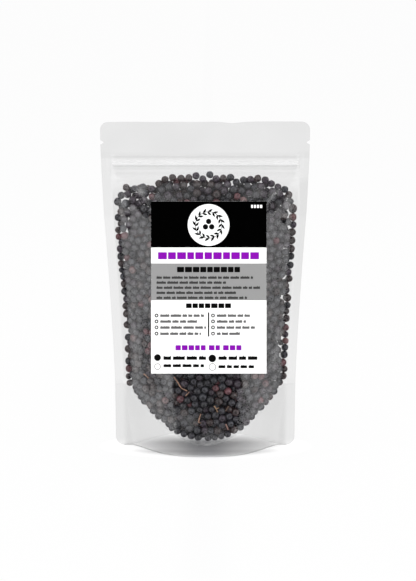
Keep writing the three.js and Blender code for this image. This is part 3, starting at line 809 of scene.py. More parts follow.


# painted shade: the dark shoulder creases, drawn by taking the film's mirroring away along these lines and by giving
# the berries beside them the darkest skin
CREASE_SHADE_LINES = [
    trace((129, 187.5), (136, 193.5), (141.5, 199.5), (146.5, 207), (151, 219)),
    trace((288, 187), (282, 192.5), (276, 199), (271, 206), (265, 214)),
]
PAINTED_SHEENS = [  # painted sheens and painted reflections, laid on as a milky white: where, how wide, how bright; the last, negative one darkens a thin line under the strip instead
    (trace((134.5, 188.5), (139, 190.8), (143, 192.8), (147, 194.5)), 1.6, 0.23),
    (trace((147, 194.8), (152, 196.8), (157, 198)), 1.9, 0.075),
    (trace((138.5, 193), (143.5, 197), (149, 201), (153, 203)), 1.25, 0.04),
    (trace((150, 196.5), (157, 198), (166, 199), (178, 199)), 2.4, 0.045),
    (trace((127, 188.5), (138, 187), (152, 187.5)), 2.2, 0.050),
    (trace((154, 188), (166, 190), (176, 192)), 3.4, 0.014),
    (trace((248, 188), (258, 191), (268, 195)), 3.8, 0.026),
    (trace((278, 202), (284, 208), (284, 219)), 3.8, 0.050),
    (trace((284, 194), (289, 201), (291, 210)), 1.8, 0.030),
    (trace((170, 373), (171, 386)), 2.6, 0.05),
    (trace((170, 194), (182, 197), (200, 198)), 3.0, 0.018),
    (trace((284, 187), (277, 191), (271, 195), (265, 199)), 2.2, 0.055),
    (trace((265, 192), (252, 196), (238, 199)), 2.4, 0.03),
    (trace((112, 175.5), (119, 179.5), (126, 184), (131, 188)), 1.2, 0.10),
    (trace((306, 176), (300, 180), (294, 184), (290, 187)), 1.1, 0.07),
    (trace((174, 413), (186, 419), (196, 431)), 5.6, 0.050),
    (trace((200, 433), (214, 437), (228, 431)), 4.4, 0.030),
    (trace((134.5, 322), (134, 345), (136, 372)), 0.9, 0.05),
    (trace((138.5, 330), (139, 352), (141, 374)), 0.7, 0.03),
    (trace((279, 326), (276.5, 350), (273, 372)), 1.0, 0.05),
    (trace((130, 402), (128, 420), (127, 438)), 0.8, 0.05),
    (trace((136, 407), (133, 424), (133, 439)), 0.7, 0.03),
    (trace((283, 404), (284.5, 420), (285, 437)), 0.8, 0.04),
    (trace((103, 173.6), (125, 174.0), (152, 174.2)), 0.45, -0.012),
]
PAINTED_REFLECTION_CUTS = [  # painted shade: where the film's mirroring is taken away, so that the reflected walls break off there: line, width, how much, how sharply
    (trace((150, 314), (150, 345), (149.5, 374), (157, 392)), 6.2, 0.50, 6),
    (trace((168, 391), (168, 416)), 3.4, 0.32, 4),
    (trace((281, 245), (281, 300), (280, 350)), 8.5, 0.12, 2),
    (trace((230, 376), (233, 388), (230, 402), (234, 414), (232, 430)), 4.2, 0.95, 4),
    (trace((238, 388), (241, 402), (242, 416), (238, 430)), 3.4, 0.50, 2),
]
HEAD = [-60, -52.4, -49.3, -44.1, -33.0, -20.3, 2.9, 15.9, 32.8, 41.4, 49.7, 52.4, 60]
HEAD_Z = [150, 163.7, 168.7, 168.5, 169.5, 174.8, 176.6, 175.0, 174.4, 171.1, 167.4, 163.8, 150]


def film_marks(x, z, on_fruit, front=True):
    """What is painted on a panel: how strongly it mirrors, where it is milky, where plies are welded."""
    skirt = 1 - smooth(-0.6, 0.4, z - weld_z(x))
    slope = weld_z(x + 0.5) - weld_z(x - 0.5)
    above = (z - weld_z(x)) / np.sqrt(1 + slope**2)
    d = bulge_half(z) - np.abs(lean(x, z))
    column = 1 - smooth(3.9, 5.6, d + 0.35 * np.sin(z * 1.42 + x * 0.1))
    below_crest = 1 - smooth(-1.5, 2.5, z - np.interp(x, HEAD, HEAD_Z))
    over_fruit = smooth(0.6, 3.8, above) * below_crest
    # painted reflection: the film mirrors more over each berry it lies on and less off the fruit, over the outermost
    # column and on the skirt
    mirror = 0.34 + 0.66 * over_fruit * (0.62 + 0.94 * on_fruit)
    mirror = mirror * (1 - 0.9 * column * smooth(30, 44, z) * over_fruit)
    mirror = mirror * (1 - 0.5 * skirt)
    milk_and_painted_sheen = np.zeros_like(mirror)
    if front:
        # painted shade along the shoulder creases
        for line in CREASE_SHADE_LINES:
            mirror = mirror * (1 - 0.94 * np.minimum(1.3 * line_bump(x, z, line, 1.0, 2.1, 3), 1))
        # painted shade where the reflected walls break off
        for line, width, amount, power in PAINTED_REFLECTION_CUTS:
            mirror = mirror * (1 - line_bump(x, z, line, amount, width, 3, power))
        # painted sheens along the strokes listed above
        for line, width, sheen_amount in PAINTED_SHEENS:
            milk_and_painted_sheen = milk_and_painted_sheen + line_bump(x, z, line, sheen_amount, width, 5)
        # painted light: a faint lift over the fruit, stronger near the crest and over each berry the film lies on
        milk_and_painted_sheen = milk_and_painted_sheen + 0.003 * over_fruit * (1 - column)
        milk_and_painted_sheen = milk_and_painted_sheen + 0.011 * smooth(150, 156, z) * over_fruit * (0.5 + 1.1 * on_fruit)
        # painted highlight: a pale glint line just under the fruit's lower edge
        under = (z - weld_z(x) + 0.9 + 0.3 * np.sin(x * 0.9)) / 0.75
        milk_and_painted_sheen = milk_and_painted_sheen + (0.085 + 0.05 * np.sin(x * 0.31 + 1) + 0.03 * np.sin(x * 2.3)) * np.exp(-under**2) * (1 - smooth(24, 40, np.abs(x)))
    from_seal = np.abs(x) - (half_width(z) - SIDE_SEAL)
    ply = skirt * (1 - 0.75 * smooth(-2.6, 1.4, from_seal))
    ply = ply + 0.75 * smooth(42, 47, z) * (1 - 0.6 * smooth(160, 172, z)) * (1 - smooth(170, 178, z)) * (1 - smooth(-1.2, 0.6, from_seal))
    ply = ply + 0.30 * smooth(186.4, 187.4, z) * (1 - smooth(190, 192, z)) + (0.12 + 0.13 * waves(x, z * 1.3, 77, 75, 26, 7)) * smooth(190, 192, z)
    ply = ply + 0.42 * smooth(-0.5, 0.8, from_seal) * smooth(20, 30, x) * smooth(60, 110, z) * (1 - smooth(170, 178, z))
    ply = np.clip(ply + 8.0 * np.maximum(-milk_and_painted_sheen, 0), 0, 1)
    return {"mirror": mirror, "milk_and_painted_sheen": np.maximum(milk_and_painted_sheen, 0), "ply": ply}


ROWS = panel_rows()
X, Z = panel_grid(ROWS)
n_rows, n_cols = X.shape
shown_z = Z + top_edge(X, Z)
fruit_f, fruit_b = pressed(X, Z, cf < 0.5), pressed(X, Z, cb < 0.5)
print("pressed", fruit_f[(Z > 50) & (Z < 150) & (np.abs(X) < 45)].mean())
front = build(
    "front_film",
    np.stack([X, front_y(X, Z, 0.16) - 0.07 * fruit_f, shown_z], -1).reshape(-1, 3),
    [grid_faces(n_rows, n_cols)],
    [FILM],
    attributes=film_marks(X, Z, fruit_f),
)
place(front, "clear_film", "front_panel")
back = build(
    "back_film",
    np.stack([X, back_y(X, Z, 0.16) + 0.07 * fruit_b, shown_z], -1).reshape(-1, 3),
    [grid_faces(n_rows, n_cols, flip=True)],
    [FILM],
    attributes=film_marks(X, Z, fruit_b, False),
)
place(back, "clear_film", "back_panel")

# the cut edge that closes the two panels along both sides
edge_parts, edge_faces, base = [], [], 0
for col in (0, n_cols - 1):
    xe, ze = X[:, col], Z[:, col]
    yf, yb = front_y(xe, ze, 0.16), back_y(xe, ze, 0.16)
    ring = np.stack([np.stack([xe, yf * (1 - t) + yb * t, shown_z[:, col]], -1) for t in (0, 0.5, 1)], 1)
    ring[:, 1, 0] += 0.06 * np.sign(ring[:, 1, 0])
    edge_parts.append(ring.reshape(-1, 3))
    edge_faces.append(grid_faces(len(xe), 3, flip=col == 0) + base)
    base += 3 * len(xe)
edge_v = np.concatenate(edge_parts)
cut = build("film_cut_edge", edge_v, edge_faces, [FILM], attributes={"mirror": np.full(len(edge_v), 0.3), "milk_and_painted_sheen": np.full(len(edge_v), 0.02), "ply": np.zeros(len(edge_v))})
place(cut, "clear_film")

# the bead that the weld leaves along the front panel's foot
fx = np.linspace(-52.5, 52.5, 121)
tall = 0.34 + 0.30 * smooth(8, 24, np.abs(fx))
bead = []
for offset, up in ((0.24, 0.0), (0.42, 0.0), (0.42, 1.0), (0.24, 1.0)):
    bead.append(np.stack([fx, front_y(fx, np.zeros_like(fx), offset), 0.03 + tall * up], -1))
bead = np.stack(bead, 1)  # n x 4 x 3
i, j = np.meshgrid(np.arange(len(fx) - 1), np.arange(4), indexing="ij")
i, j = i.ravel(), j.ravel()
around_bead = np.stack([i * 4 + j, (i + 1) * 4 + j, (i + 1) * 4 + (j + 1) % 4, i * 4 + (j + 1) % 4], -1)
last = (len(fx) - 1) * 4
bead_ends = np.array([[0, 1, 2, 3], [last + 3, last + 2, last + 1, last]])
full = np.repeat(0.35 + 0.55 * smooth(8, 24, np.abs(fx)), 4)
o = build("foot_bead", bead.reshape(-1, 3), [around_bead, bead_ends], [FILM], attributes={"mirror": np.full(full.size, 0.3), "milk_and_painted_sheen": np.zeros(full.size), "ply": full}, smooth_faces=False)
place(o, "clear_film")

# ------------------------------------------------------------------ the bottom gusset

gx = np.linspace(-1, 1, 121)
gx = 57.2 * np.sign(gx) * np.abs(gx) ** 0.95
gf = np.concatenate([-np.linspace(1, 0.1, 26), np.linspace(-0.08, 0.08, 5), np.linspace(0.1, 1, 26)])
GX, GF = np.meshgrid(gx, gf, indexing="xy")
at_weld = weld_z(GX)
reach = np.where(GF < 0, front_inner(GX, at_weld) + front_relief(GX, at_weld), back_inner(GX, at_weld) + back_relief(GX, at_weld)) + 0.1
GZ = hammock(GX, GF) - 0.12
slack = smooth(0.05, 0.4, np.abs(GF)) * (1 - smooth(0.7, 1, np.abs(GF))) * (1 - smooth(44, 52, np.abs(GX)))
GZ = np.maximum(GZ + slack * (0.22 * waves(GX, GF * 24, 11, 30, 12)), 0.15)
gusset = build(
    "gusset_film",
    np.stack([GX, GF * reach, GZ], -1).reshape(-1, 3),
    [grid_faces(len(gf), len(gx))],
    [GUSSET],
    attributes={"mirror": np.full(GX.shape, 1.0), "milk_and_painted_sheen": 0.03 * smooth(0.955, 0.985, np.abs(GF)), "ply": np.zeros(GX.shape)},
)
place(gusset, "clear_film", "bottom_gusset")

# ------------------------------------------------------------------ the zip strips


def rounded(points, r=0.12, n=3):
    """A polyline with its corners rounded."""
    p = np.array(points, float)
    out = [p[0]]
    for a, b, c in zip(p[:-2], p[1:-1], p[2:]):
        u, v = a - b, c - b
        lu, lv = np.hypot(*u), np.hypot(*v)
        k = min(r, lu * 0.45, lv * 0.45)
        s, e = b + u / lu * k, b + v / lv * k
        for t in np.linspace(0, 1, n):
            out.append((1 - t) ** 2 * s + 2 * t * (1 - t) * b + t * t * e)
    out.append(p[-1])
    return np.array(out)


zx = np.concatenate([np.linspace(-ZIP_END, -55, 12), np.linspace(-54, 54, 55), np.linspace(55, ZIP_END, 12)])


def strip(name, profile, depth, side, node):
    """profile is y, z round the strip's section, y from the middle plane and z from the strip's middle."""
    prof = rounded(profile)
    y, z = prof[:, 0], prof[:, 1]
    XX, YY = np.meshgrid(zx, y, indexing="xy")
    ZZ = np.repeat((ZIP_Z + z)[:, None], len(zx), 1)
    pts = np.stack([XX, YY * zip_pinch(XX) + side * bulge(XX, ZZ, depth) + sway(XX, ZZ), ZZ], -1)
    o = build(name, pts.reshape(-1, 3), [grid_faces(len(y), len(zx))], [ZIP], attributes={"fade": smooth(0.1, 2.8, ZIP_END - np.abs(XX))})
    return place(o, "zip_plastic", node)


strip("zip_groove", [
    (-1.2, -8.0), (-1.12, -7.7), (-1.12, -6.5), (-1.12, -5.3), (-0.95, -5.05), (-1.12, -4.8), (-1.12, -4.1), (-0.9, -3.85), (-1.12, -3.6), (-1.12, -2.9),
    (-1.12, -2.15), (0.45, -2.1), (0.45, -0.75), (0.05, -0.95), (0.0, -1.35), (-0.85, -1.35), (-0.85, 1.35), (0.0, 1.35), (0.05, 0.95), (0.45, 0.75),
    (0.45, 2.1), (-1.12, 2.15), (-1.12, 3.4), (-0.9, 3.7), (-1.12, 4.0), (-1.12, 5.2), (-1.2, 5.5),
], front_depth, -1, "zip_groove_strip")
strip("zip_ridge", [
    (1.2, -8.0), (1.12, -7.7), (1.12, -6.2), (1.12, -5.2), (0.92, -4.9), (1.12, -4.6), (1.12, -2.5), (1.12, -0.45), (-0.1, -0.42), (-0.15, -1.0), (-0.55, -0.32), (-0.55, 0.32), (-0.15, 1.0), (-0.1, 0.42),
    (1.12, 0.45), (1.12, 2.5), (1.12, 3.4), (0.9, 3.7), (1.12, 4.0), (1.12, 5.2), (1.2, 5.5),
], back_depth, 1, "zip_ridge_strip")

# ------------------------------------------------------------------ the label

L0, L1, T0, T1 = 151.05, 266.5, 201.4, 373.55  # its edges in the frame
BANDS = [T0, 247.5, 263.4, 300.3, T1]
PAPER = print_material("label_white", (0.94, 0.94, 0.935), 0.5)
INK_BLACK = print_material("label_black", (0.0005, 0.0005, 0.0005), 0.6, 0.3, 0.0)
INK_GREY = print_material("label_grey", (0.253, 0.253, 0.253), 0.5)
PURPLE = print_material("ink_purple", (0.215, 0.004, 0.37), 0.55, 0.1, 0.05)
DARK = print_material("ink_dark", (0.003, 0.003, 0.003), 0.6, 0.2, 0.02)
MEDIUM = print_material("ink_medium", (0.045, 0.045, 0.045), 0.5, 0.15, 0.1)
SOFT = print_material("ink_soft", (0.11, 0.11, 0.11), 0.5, 0.15)
ON_BLACK = print_material("ink_white", (0.85, 0.85, 0.85), 0.5)

OUT, IN = 0.54, 0.38
px = np.linspace(L0, L1, 73)
py = np.concatenate([np.linspace(a, b, max(3, int((b - a) / 2.4)))[: -1 if b != T1 else None] for a, b in zip(BANDS[:-1], BANDS[1:])])
PX, PY = np.meshgrid(px, py, indexing="xy")
rows_l, cols_l = PX.shape
face_out = on_front(PX, PY, OUT).reshape(-1, 3)
face_in = face_out + np.array([0, OUT - IN, 0])
nq = rows_l * cols_l
mid = 0.5 * (PY[:-1, :-1] + PY[1:, :-1]).ravel()
band = np.select([mid < BANDS[1], mid < BANDS[2], mid < BANDS[3]], [1, 0, 2], 0)
rim = np.concatenate([
    np.arange(cols_l), np.arange(1, rows_l) * cols_l + cols_l - 1,
    (rows_l - 1) * cols_l + np.arange(cols_l - 2, -1, -1), np.arange(rows_l - 2, 0, -1) * cols_l,
])
nxt = np.roll(rim, -1)
q_front = grid_faces(rows_l, cols_l, flip=True)
q_back = grid_faces(rows_l, cols_l) + nq
# the rim has its own vertices, so that its edges stay sharp
rim_v = np.concatenate([face_out[rim], face_in[rim]])
m = len(rim)
k = np.arange(m)
q_rim = np.stack([k, (k + 1) % m, (k + 1) % m + m, k + m], -1) + 2 * nq
label = build(
    "label_paper",
    np.concatenate([face_out, face_in, rim_v]),
    [q_front, q_back, q_rim],
    [PAPER, INK_BLACK, INK_GREY],
    np.concatenate([band, np.zeros(len(q_back)), np.zeros(len(q_rim))]),
)
place(label, "label_paper", "front_label")

# What is printed: plain blocks in place of words, rings, a rule and a wreath.
print_v, print_f, print_m, print_at = [], [], [], 0


def add_print(points, faces, ink):
    global print_at
    p = on_front(points[:, 0], points[:, 1], OUT + 0.05)
    print_v.append(p)
    f = np.asarray(faces)
    print_f.append(f + print_at)
    print_m.append(np.full(len(f), ink))
    print_at += len(points)


def block(x0, y0, x1, y1, ink, r=0.45):
    """A small block with rounded corners, fine enough to follow the paper."""
    r = min(r, (y1 - y0) * 0.5, (x1 - x0) * 0.5)
    n = max(2, int(math.ceil((x1 - x0) / 2.2)) + 1)
    xs = np.unique(np.concatenate([[x0, x0 + 0.3 * r, x0 + r], np.linspace(x0 + r, x1 - r, n), [x1 - 0.3 * r, x1]]))
    inset = []
    for x in xs:
        d = max(x0 + r - x, x - (x1 - r), 0)
        inset.append(r - math.sqrt(max(r * r - d * d, 0)))
    inset = np.array(inset)
    t = np.linspace(0, 1, 3)[:, None]
    ys = (y0 + inset) + (y1 - y0 - 2 * inset) * t
    pts = np.stack([np.repeat(xs[None], 3, 0), ys], -1).reshape(-1, 2)
    add_print(pts, grid_faces(3, len(xs), flip=True), ink)


def disc(cx, cy, r, ink, inner=0.0, n=40, stretch=1.0):
    """A disc, or a ring when inner is set, round in the frame."""
    a = np.linspace(0, 2 * math.pi, n, endpoint=False)
    steps = max(2, int((r - inner) / 2.5) + 2)
    rr = np.linspace(inner if inner else 0.02, r, steps)
    pts = np.stack([cx + np.outer(rr, np.cos(a)), cy + stretch * np.outer(rr, np.sin(a))], -1).reshape(-1, 2)
    f = []
    for i in range(steps - 1):
        for j in range(n):
            f.append([i * n + j, (i + 1) * n + j, (i + 1) * n + (j + 1) % n, i * n + (j + 1) % n])
    add_print(pts, np.array(f)[:, ::-1], ink)
    if not inner:
        c = np.array([[cx, cy]])
        pts = np.concatenate([c, pts[:n]])
        add_print(pts, np.array([[0, 1 + j, 1 + (j + 1) % n] for j in range(n)])[:, ::-1], ink)


def words(x0, x1, y0, y1, ink, seed, letters=(2, 7), gap=1.5, fine=True):
    """A line of greeked words: blocks of uneven length, with a small step up or down here and there."""
    rng = np.random.default_rng(seed)
    x, h = x0, y1 - y0
    while x < x1 - 1.0:
        w = min(rng.uniform(*letters) * (1.25 if fine else 1.0), x1 - x)
        if x1 - (x + w) < 2.0:
            w = x1 - x
        block(x, y0 + 0.22 * h, x + w, y1, ink, 0.3)
        for _ in range(int(w / 2.2)):
            s = x + rng.uniform(0.1, max(w - 0.7, 0.2))
            block(s, y0, min(s + 0.55, x + w), y0 + 0.3 * h, ink, 0.15)
        x += w + gap


def capitals(x0, x1, y0, y1, ink, groups, seed, gap=1.1, space=3.4):
    """A heading: square blocks in groups, evenly spaced."""
    rng = np.random.default_rng(seed)
    count = sum(groups)
    room = (x1 - x0) - space * (len(groups) - 1) - gap * (count - len(groups))
    size = rng.uniform(0.85, 1.15, count)
    size *= room / size.sum()
    x, k = x0, 0
    for g in groups:
        for _ in range(g):
            block(x, y0, x + size[k], y1, ink, 0.5)
            x += size[k] + gap
            k += 1
        x += space - gap


INKS = [PURPLE, DARK, SOFT, ON_BLACK, PAPER, MEDIUM]
V, D, S, W, P, M = range(6)
capitals(251.1, 262.3, 204.8, 208.0, W, (4,), 3, 0.9)
disc(208.6, 225.0, 20.9, W, n=72)
capitals(158, 259, 252.2, 259.3, V, (11,), 4, 1.2)
capitals(177, 240, 266.9, 272.2, D, (9,), 5, 0.9)
for k, (y, end) in enumerate(zip((277.5, 282.5, 287.6, 292.7, 297.7), (253, 226, 260, 236, 247))):
    words(156.5, end, y - 1.5, y + 1.3, M, 20 + k, (2.5, 9), 1.2)
capitals(186, 231, 303.4, 308.1, D, (7,), 6, 0.8)
for k, (y, a, b) in enumerate(zip((315.5, 321.4, 327.4, 333.6), (204, 197, 206, 201), (250, 246, 257, 240))):
    for cx, x0, x1, s in ((156.5, 160.2, a, 40), (213.0, 216.8, b, 50)):
        disc(cx, y, 1.95, M, 0.8, 24)
        words(x0, x1, y - 1.65, y + 1.4, S, s + k, (3, 9), 1.2)
block(207.9, 312.4, 209.3, 336.6, D, 0.2)
capitals(175.5, 241.4, 345.2, 350.3, V, (5, 2, 3), 7, 1.0, 3.2)
disc(157.5, 357.6, 3.4, D, n=32)
disc(212.3, 358.4, 3.8, D, n=32)
disc(157.5, 366.6, 3.2, S, 2.6, 32)
disc(212.4, 367.0, 3.7, S, 3.1, 32)
words(163.5, 206, 355.6, 359.8, D, 60, (5, 13), 1.8, False)
words(218.5, 260, 355.6, 359.8, D, 61, (6, 12), 1.8, False)
words(163.5, 204, 363.6, 367.2, D, 62, (4, 10), 1.6, False)
words(218.5, 254, 364.6, 368.2, D, 63, (4, 9), 1.6, False)

# the wreath on the disc: leaves in a ring round three berries
lift = 0.0


def leaf(cx, cy, angle, length, width, ink):
    t = np.linspace(0, 1, 9)
    half = 0.5 * width * np.sin(math.pi * t**0.85)
    pts = []
    for s in (-1, 0, 1):
        u = length * (t - 0.5)
        v = s * half + 0.06 * length * np.sin(math.pi * t)
        pts.append(np.stack([cx + u * math.cos(angle) - v * math.sin(angle), cy + u * math.sin(angle) + v * math.cos(angle)], -1))
    pts = np.concatenate(pts)
    add_print(pts, grid_faces(3, 9, flip=True), ink)


OUT += 0.05  # the motif lies on the white disc
for k in range(16):
    a = 2 * math.pi * k / 16 + 0.1
    for rr, turn in ((14.9, 0.62), (11.6, -0.62)):
        leaf(208.6 + rr * math.cos(a + 0.03 * turn), 225 + rr * math.sin(a + 0.03 * turn), a + math.pi / 2 - turn, 5.4, 2.1, D)
disc(208.6, 225.0, 13.5, D, 12.95, 64)
for a in (math.radians(-90), math.radians(30), math.radians(150)):
    disc(208.6 + 3.6 * math.cos(a), 225 + 3.6 * math.sin(a), 2.7, D, n=28)
OUT -= 0.05
prints = build("label_print", np.concatenate(print_v), print_f, INKS, np.concatenate(print_m))
place(prints, "label_paper")

# ------------------------------------------------------------------ the berries' shapes


def berry_shape(seg, thetas, seed, detail=1.0):
    """A dried berry of radius 1: uneven, faintly ribbed, with the small crown scar on top and the stalk's pit below."""
    rng = np.random.default_rng(seed)
    lumps = [(rng.normal(size=3), rng.uniform(0, 6.3), rng.uniform(1.2, 2.6)) for _ in range(5)]
    ribs, phase, rib = rng.integers(5, 9), rng.uniform(0, 6.3), rng.uniform(0.008, 0.022)
    squash = rng.uniform(0.93, 1.03)
    th = np.array(thetas, float)
    ph = np.linspace(0, 2 * math.pi, seg, endpoint=False)
    T, F = np.meshgrid(th, ph, indexing="ij")
    d = np.stack([np.sin(T) * np.cos(F), np.sin(T) * np.sin(F), np.cos(T)], -1)
    poles = np.array([[0, 0, 1.0], [0, 0, -1.0]])
    d = np.concatenate([d.reshape(-1, 3), poles])
    theta = np.concatenate([T.ravel(), [0, math.pi]])
    phi = np.concatenate([F.ravel(), [0, 0]])
    r = np.ones(len(d))
    for v, p, k in lumps:
        r += 0.020 * detail * np.sin(k * (d @ v) + p)
    r += detail * rib * np.cos(ribs * phi + phase) * np.sin(theta) ** 1.5
    r += detail * (0.050 * np.exp(-(((theta - 0.52) / 0.13) ** 2)) - 0.17 * np.exp(-((theta / 0.30) ** 2)))
    r += detail * (0.02 * np.exp(-(((theta - 2.86) / 0.1) ** 2)) - 0.09 * np.exp(-(((theta - math.pi) / 0.14) ** 2)))
    v = d * r[:, None]
    v[:, 2] *= squash
    n = len(th)
    faces = []
    for i in range(n - 1):
        for j in range(seg):
            a, b = i * seg + j, i * seg + (j + 1) % seg
            faces.append([a, a + seg, b + seg])
            faces.append([a, b + seg, b])
    top_i, low_i = n * seg, n * seg + 1
    for j in range(seg):
        faces.append([top_i, j, (j + 1) % seg])
        faces.append([low_i, (n - 1) * seg + (j + 1) % seg, (n - 1) * seg + j])
    return v, np.array(faces), theta


FINE = [0.16, 0.32, 0.46, 0.62, 0.90, 1.25, 1.6, 2.0, 2.4, 2.78]
FINEST = [0.10, 0.20, 0.30, 0.40, 0.50, 0.62, 0.8, 1.05, 1.3, 1.57, 1.85, 2.1, 2.35, 2.6, 2.8, 2.95, 3.05]
MIDDLE = [0.55, 1.15, 1.75, 2.45]
ROUGHLY = [0.9, 2.1]
fine_shapes = [berry_shape(13, FINE, 100 + s) for s in range(10)]
finest_shapes = [berry_shape(28, FINEST, 200 + s) for s in range(10)]
middle_shapes = [berry_shape(8, MIDDLE, 300 + s, 0.4) for s in range(4)]
rough_shapes = [berry_shape(6, ROUGHLY, 400 + s, 0.0) for s in range(2)]


def turns(n, rng):
    """Random rotation matrices."""
    q = rng.normal(size=(n, 4))
    q /= np.linalg.norm(q, axis=1)[:, None]
    w, x, y, z = q.T
    return np.stack([
        np.stack([1 - 2 * (y * y + z * z), 2 * (x * y - z * w), 2 * (x * z + y * w)], -1),
        np.stack([2 * (x * y + z * w), 1 - 2 * (x * x + z * z), 2 * (y * z - x * w)], -1),
        np.stack([2 * (x * z - y * w), 2 * (y * z + x * w), 1 - 2 * (x * x + y * y)], -1),
    ], 1)


SKINS = [
    berry_material("berry_black", (0.0042, 0.0040, 0.0066), (0.0115, 0.0105, 0.0165), (0.050, 0.047, 0.064), 0.06, (0.40, 0.36, 0.46)),
    berry_material("berry_plum", (0.0080, 0.0044, 0.0092), (0.021, 0.0112, 0.0215), (0.070, 0.050, 0.076), 0.13, (0.62, 0.30, 0.42)),
    berry_material("berry_brown", (0.0115, 0.0062, 0.0070), (0.027, 0.0150, 0.0160), (0.078, 0.056, 0.058), 0.26, (0.66, 0.27, 0.25)),
    berry_material("berry_slate", (0.0068, 0.0074, 0.0112), (0.019, 0.0200, 0.027), (0.080, 0.081, 0.102), 0.06, (0.42, 0.42, 0.50)),
    berry_material("berry_red", (0.040, 0.010, 0.014), (0.115, 0.030, 0.039), (0.17, 0.085, 0.100), 0.20, (0.80, 0.34, 0.34)),
    berry_material("berry_rose", (0.062, 0.027, 0.030), (0.145, 0.068, 0.068), (0.21, 0.14, 0.14), 0.15, (0.80, 0.50, 0.48)),
]
SHARES = [0.50, 0.19, 0.13, 0.11, 0.044, 0.026]
# painted light: the outermost berries get browner and redder skins, standing for the reddish light at the rims of the
# berries along the outline
RIM_LIGHT_SHARES = [0.24, 0.20, 0.42, 0.03, 0.085, 0.025]  # of the outermost columns
HIGH_SHARES = [0.34, 0.30, 0.20, 0.04, 0.090, 0.030]  # of the fruit near the crest


UNRIPE = trace((217, 389.7), (225.4, 393.2), (177.8, 401), (232, 413.5), (167, 402), (253, 379.5))


def berry_cluster(name, pos, rad, shapes, seed, *nodes, tones=None, outward=0.0):
    rng = np.random.default_rng(seed)
    n = len(pos)
    kind = rng.integers(0, len(shapes), n)
    if tones is None:
        outermost = bulge_half(pos[:, 2]) - np.abs(lean(pos[:, 0], pos[:, 2])) < 5.4
        a, b, c = (rng.choice(len(SKINS), n, p=q) for q in (RIM_LIGHT_SHARES, HIGH_SHARES, SHARES))
        tone = np.where(outermost, a, np.where(pos[:, 2] > 152, b, c))
        # painted shade: berries along the shoulder creases get the darkest skin
        crease_shade = sum(line_bump(pos[:, 0], pos[:, 2], line, 1.0, 3.2, 3) for line in CREASE_SHADE_LINES)
        tone = np.where((crease_shade > 0.35) & (pos[:, 1] < 0) & (tone > 1), 0, tone)
        if name == "heap_front_low":  # the few unripe ones below the label have places of their own
            tone = np.where((tone > 3) & (np.abs(pos[:, 0]) < 34), 0, tone)
            behind = pos[:, 1] + front_inner(pos[:, 0], pos[:, 2])
            for (sx, sz), unripe in zip(UNRIPE, (4, 4, 4, 2, 5, 5)):
                tone[np.argmin((pos[:, 0] - sx) ** 2 + (pos[:, 2] - sz) ** 2 + 0.5 * (behind - 2.3) ** 2)] = unripe
    else:
        tone = np.asarray(tones)
    R = turns(n, rng)
    if outward:  # some of them lie with the crown scar towards the film
        axis = np.stack([rng.normal(0, 0.35, n) + pos[:, 0] / 90, np.full(n, -np.sign(outward)), rng.normal(0, 0.35, n)], -1)
        axis /= np.linalg.norm(axis, axis=1)[:, None]
        side = np.cross(np.array([0.3, 0, 1.0]), axis)
        side /= np.linalg.norm(side, axis=1)[:, None]
        turned = np.stack([side, np.cross(axis, side), axis], -1)
        R = np.where((rng.random(n) < abs(outward))[:, None, None], turned, R)
    vs, fs, ms, ss, at = [], [], [], [], 0
    for k, (sv, sf, theta) in enumerate(shapes):
        mine = np.where(kind == k)[0]
        if not len(mine):
            continue
        v = np.einsum("nij,vj->nvi", R[mine], sv) * rad[mine][:, None, None] + pos[mine][:, None, :]
        f = sf[None] + (np.arange(len(mine)) * len(sv))[:, None, None] + at
        vs.append(v.reshape(-1, 3))
        fs.append(f.reshape(-1, 3))
        ms.append(np.repeat(tone[mine], len(sf)))
        ss.append(np.tile(theta, len(mine)))
        at += len(mine) * len(sv)
    theta = np.concatenate(ss)
    marks = {"scar": np.exp(-((theta / 0.30) ** 2)), "painted_ring_highlight": np.exp(-(((theta - 0.60) / 0.20) ** 2))}
    o = build(name, np.concatenate(vs), fs, SKINS, np.concatenate(ms), attributes=marks)
    return place(o, "dried_berry", *nodes)


near = np.minimum(np.minimum(cf, cb), ch)
from_top = crest(places[:, 0]) - places[:, 2]
outer = (near < 2.0) | (from_top < 5.0)
second = ~outer & ((near < 5.2) | (from_top < 10.0))
deep = ~outer & ~second
front_side = outer & (cf <= cb)
back_side = outer & ~front_side
print("berries", len(places), "front", front_side.sum(), "back", back_side.sum(), "second", second.sum(), "deep", deep.sum())
parts = [
    ("heap_front_low", front_side & (places[:, 2] < 60), fine_shapes),
    ("heap_front_middle", front_side & (places[:, 2] >= 60) & (places[:, 2] < 118), fine_shapes),
    ("heap_front_high", front_side & (places[:, 2] >= 118), fine_shapes),
    ("heap_back_low", back_side & (places[:, 2] < 60), fine_shapes),
    ("heap_back_middle", back_side & (places[:, 2] >= 60) & (places[:, 2] < 118), fine_shapes),
    ("heap_back_high", back_side & (places[:, 2] >= 118), fine_shapes),
    ("heap_second_layer", second, middle_shapes),
    ("heap_core", deep, rough_shapes),
]
for k, (name, chosen, shapes) in enumerate(parts):
    berry_cluster(name, places[chosen], radii[chosen], shapes, 500 + k, "dried_berry_heap", outward=(0.66 if "front" in name else -0.60) if shapes is fine_shapes else 0.0)

for k, spot in enumerate(TOP):
    rng = np.random.default_rng(900 + k)
    tone = rng.choice(4, p=[0.22, 0.28, 0.46, 0.04])
    berry_cluster(
        f"berry_{k + 1:02d}", np.array([spot]), np.array([2.27]), [finest_shapes[k % 10]], 700 + k,
        f"loose_berry_{k + 1:02d}", tones=[tone], outward=1.0 if k % 3 == 1 else 0.0,
    )

# ------------------------------------------------------------------ the bits of stalk

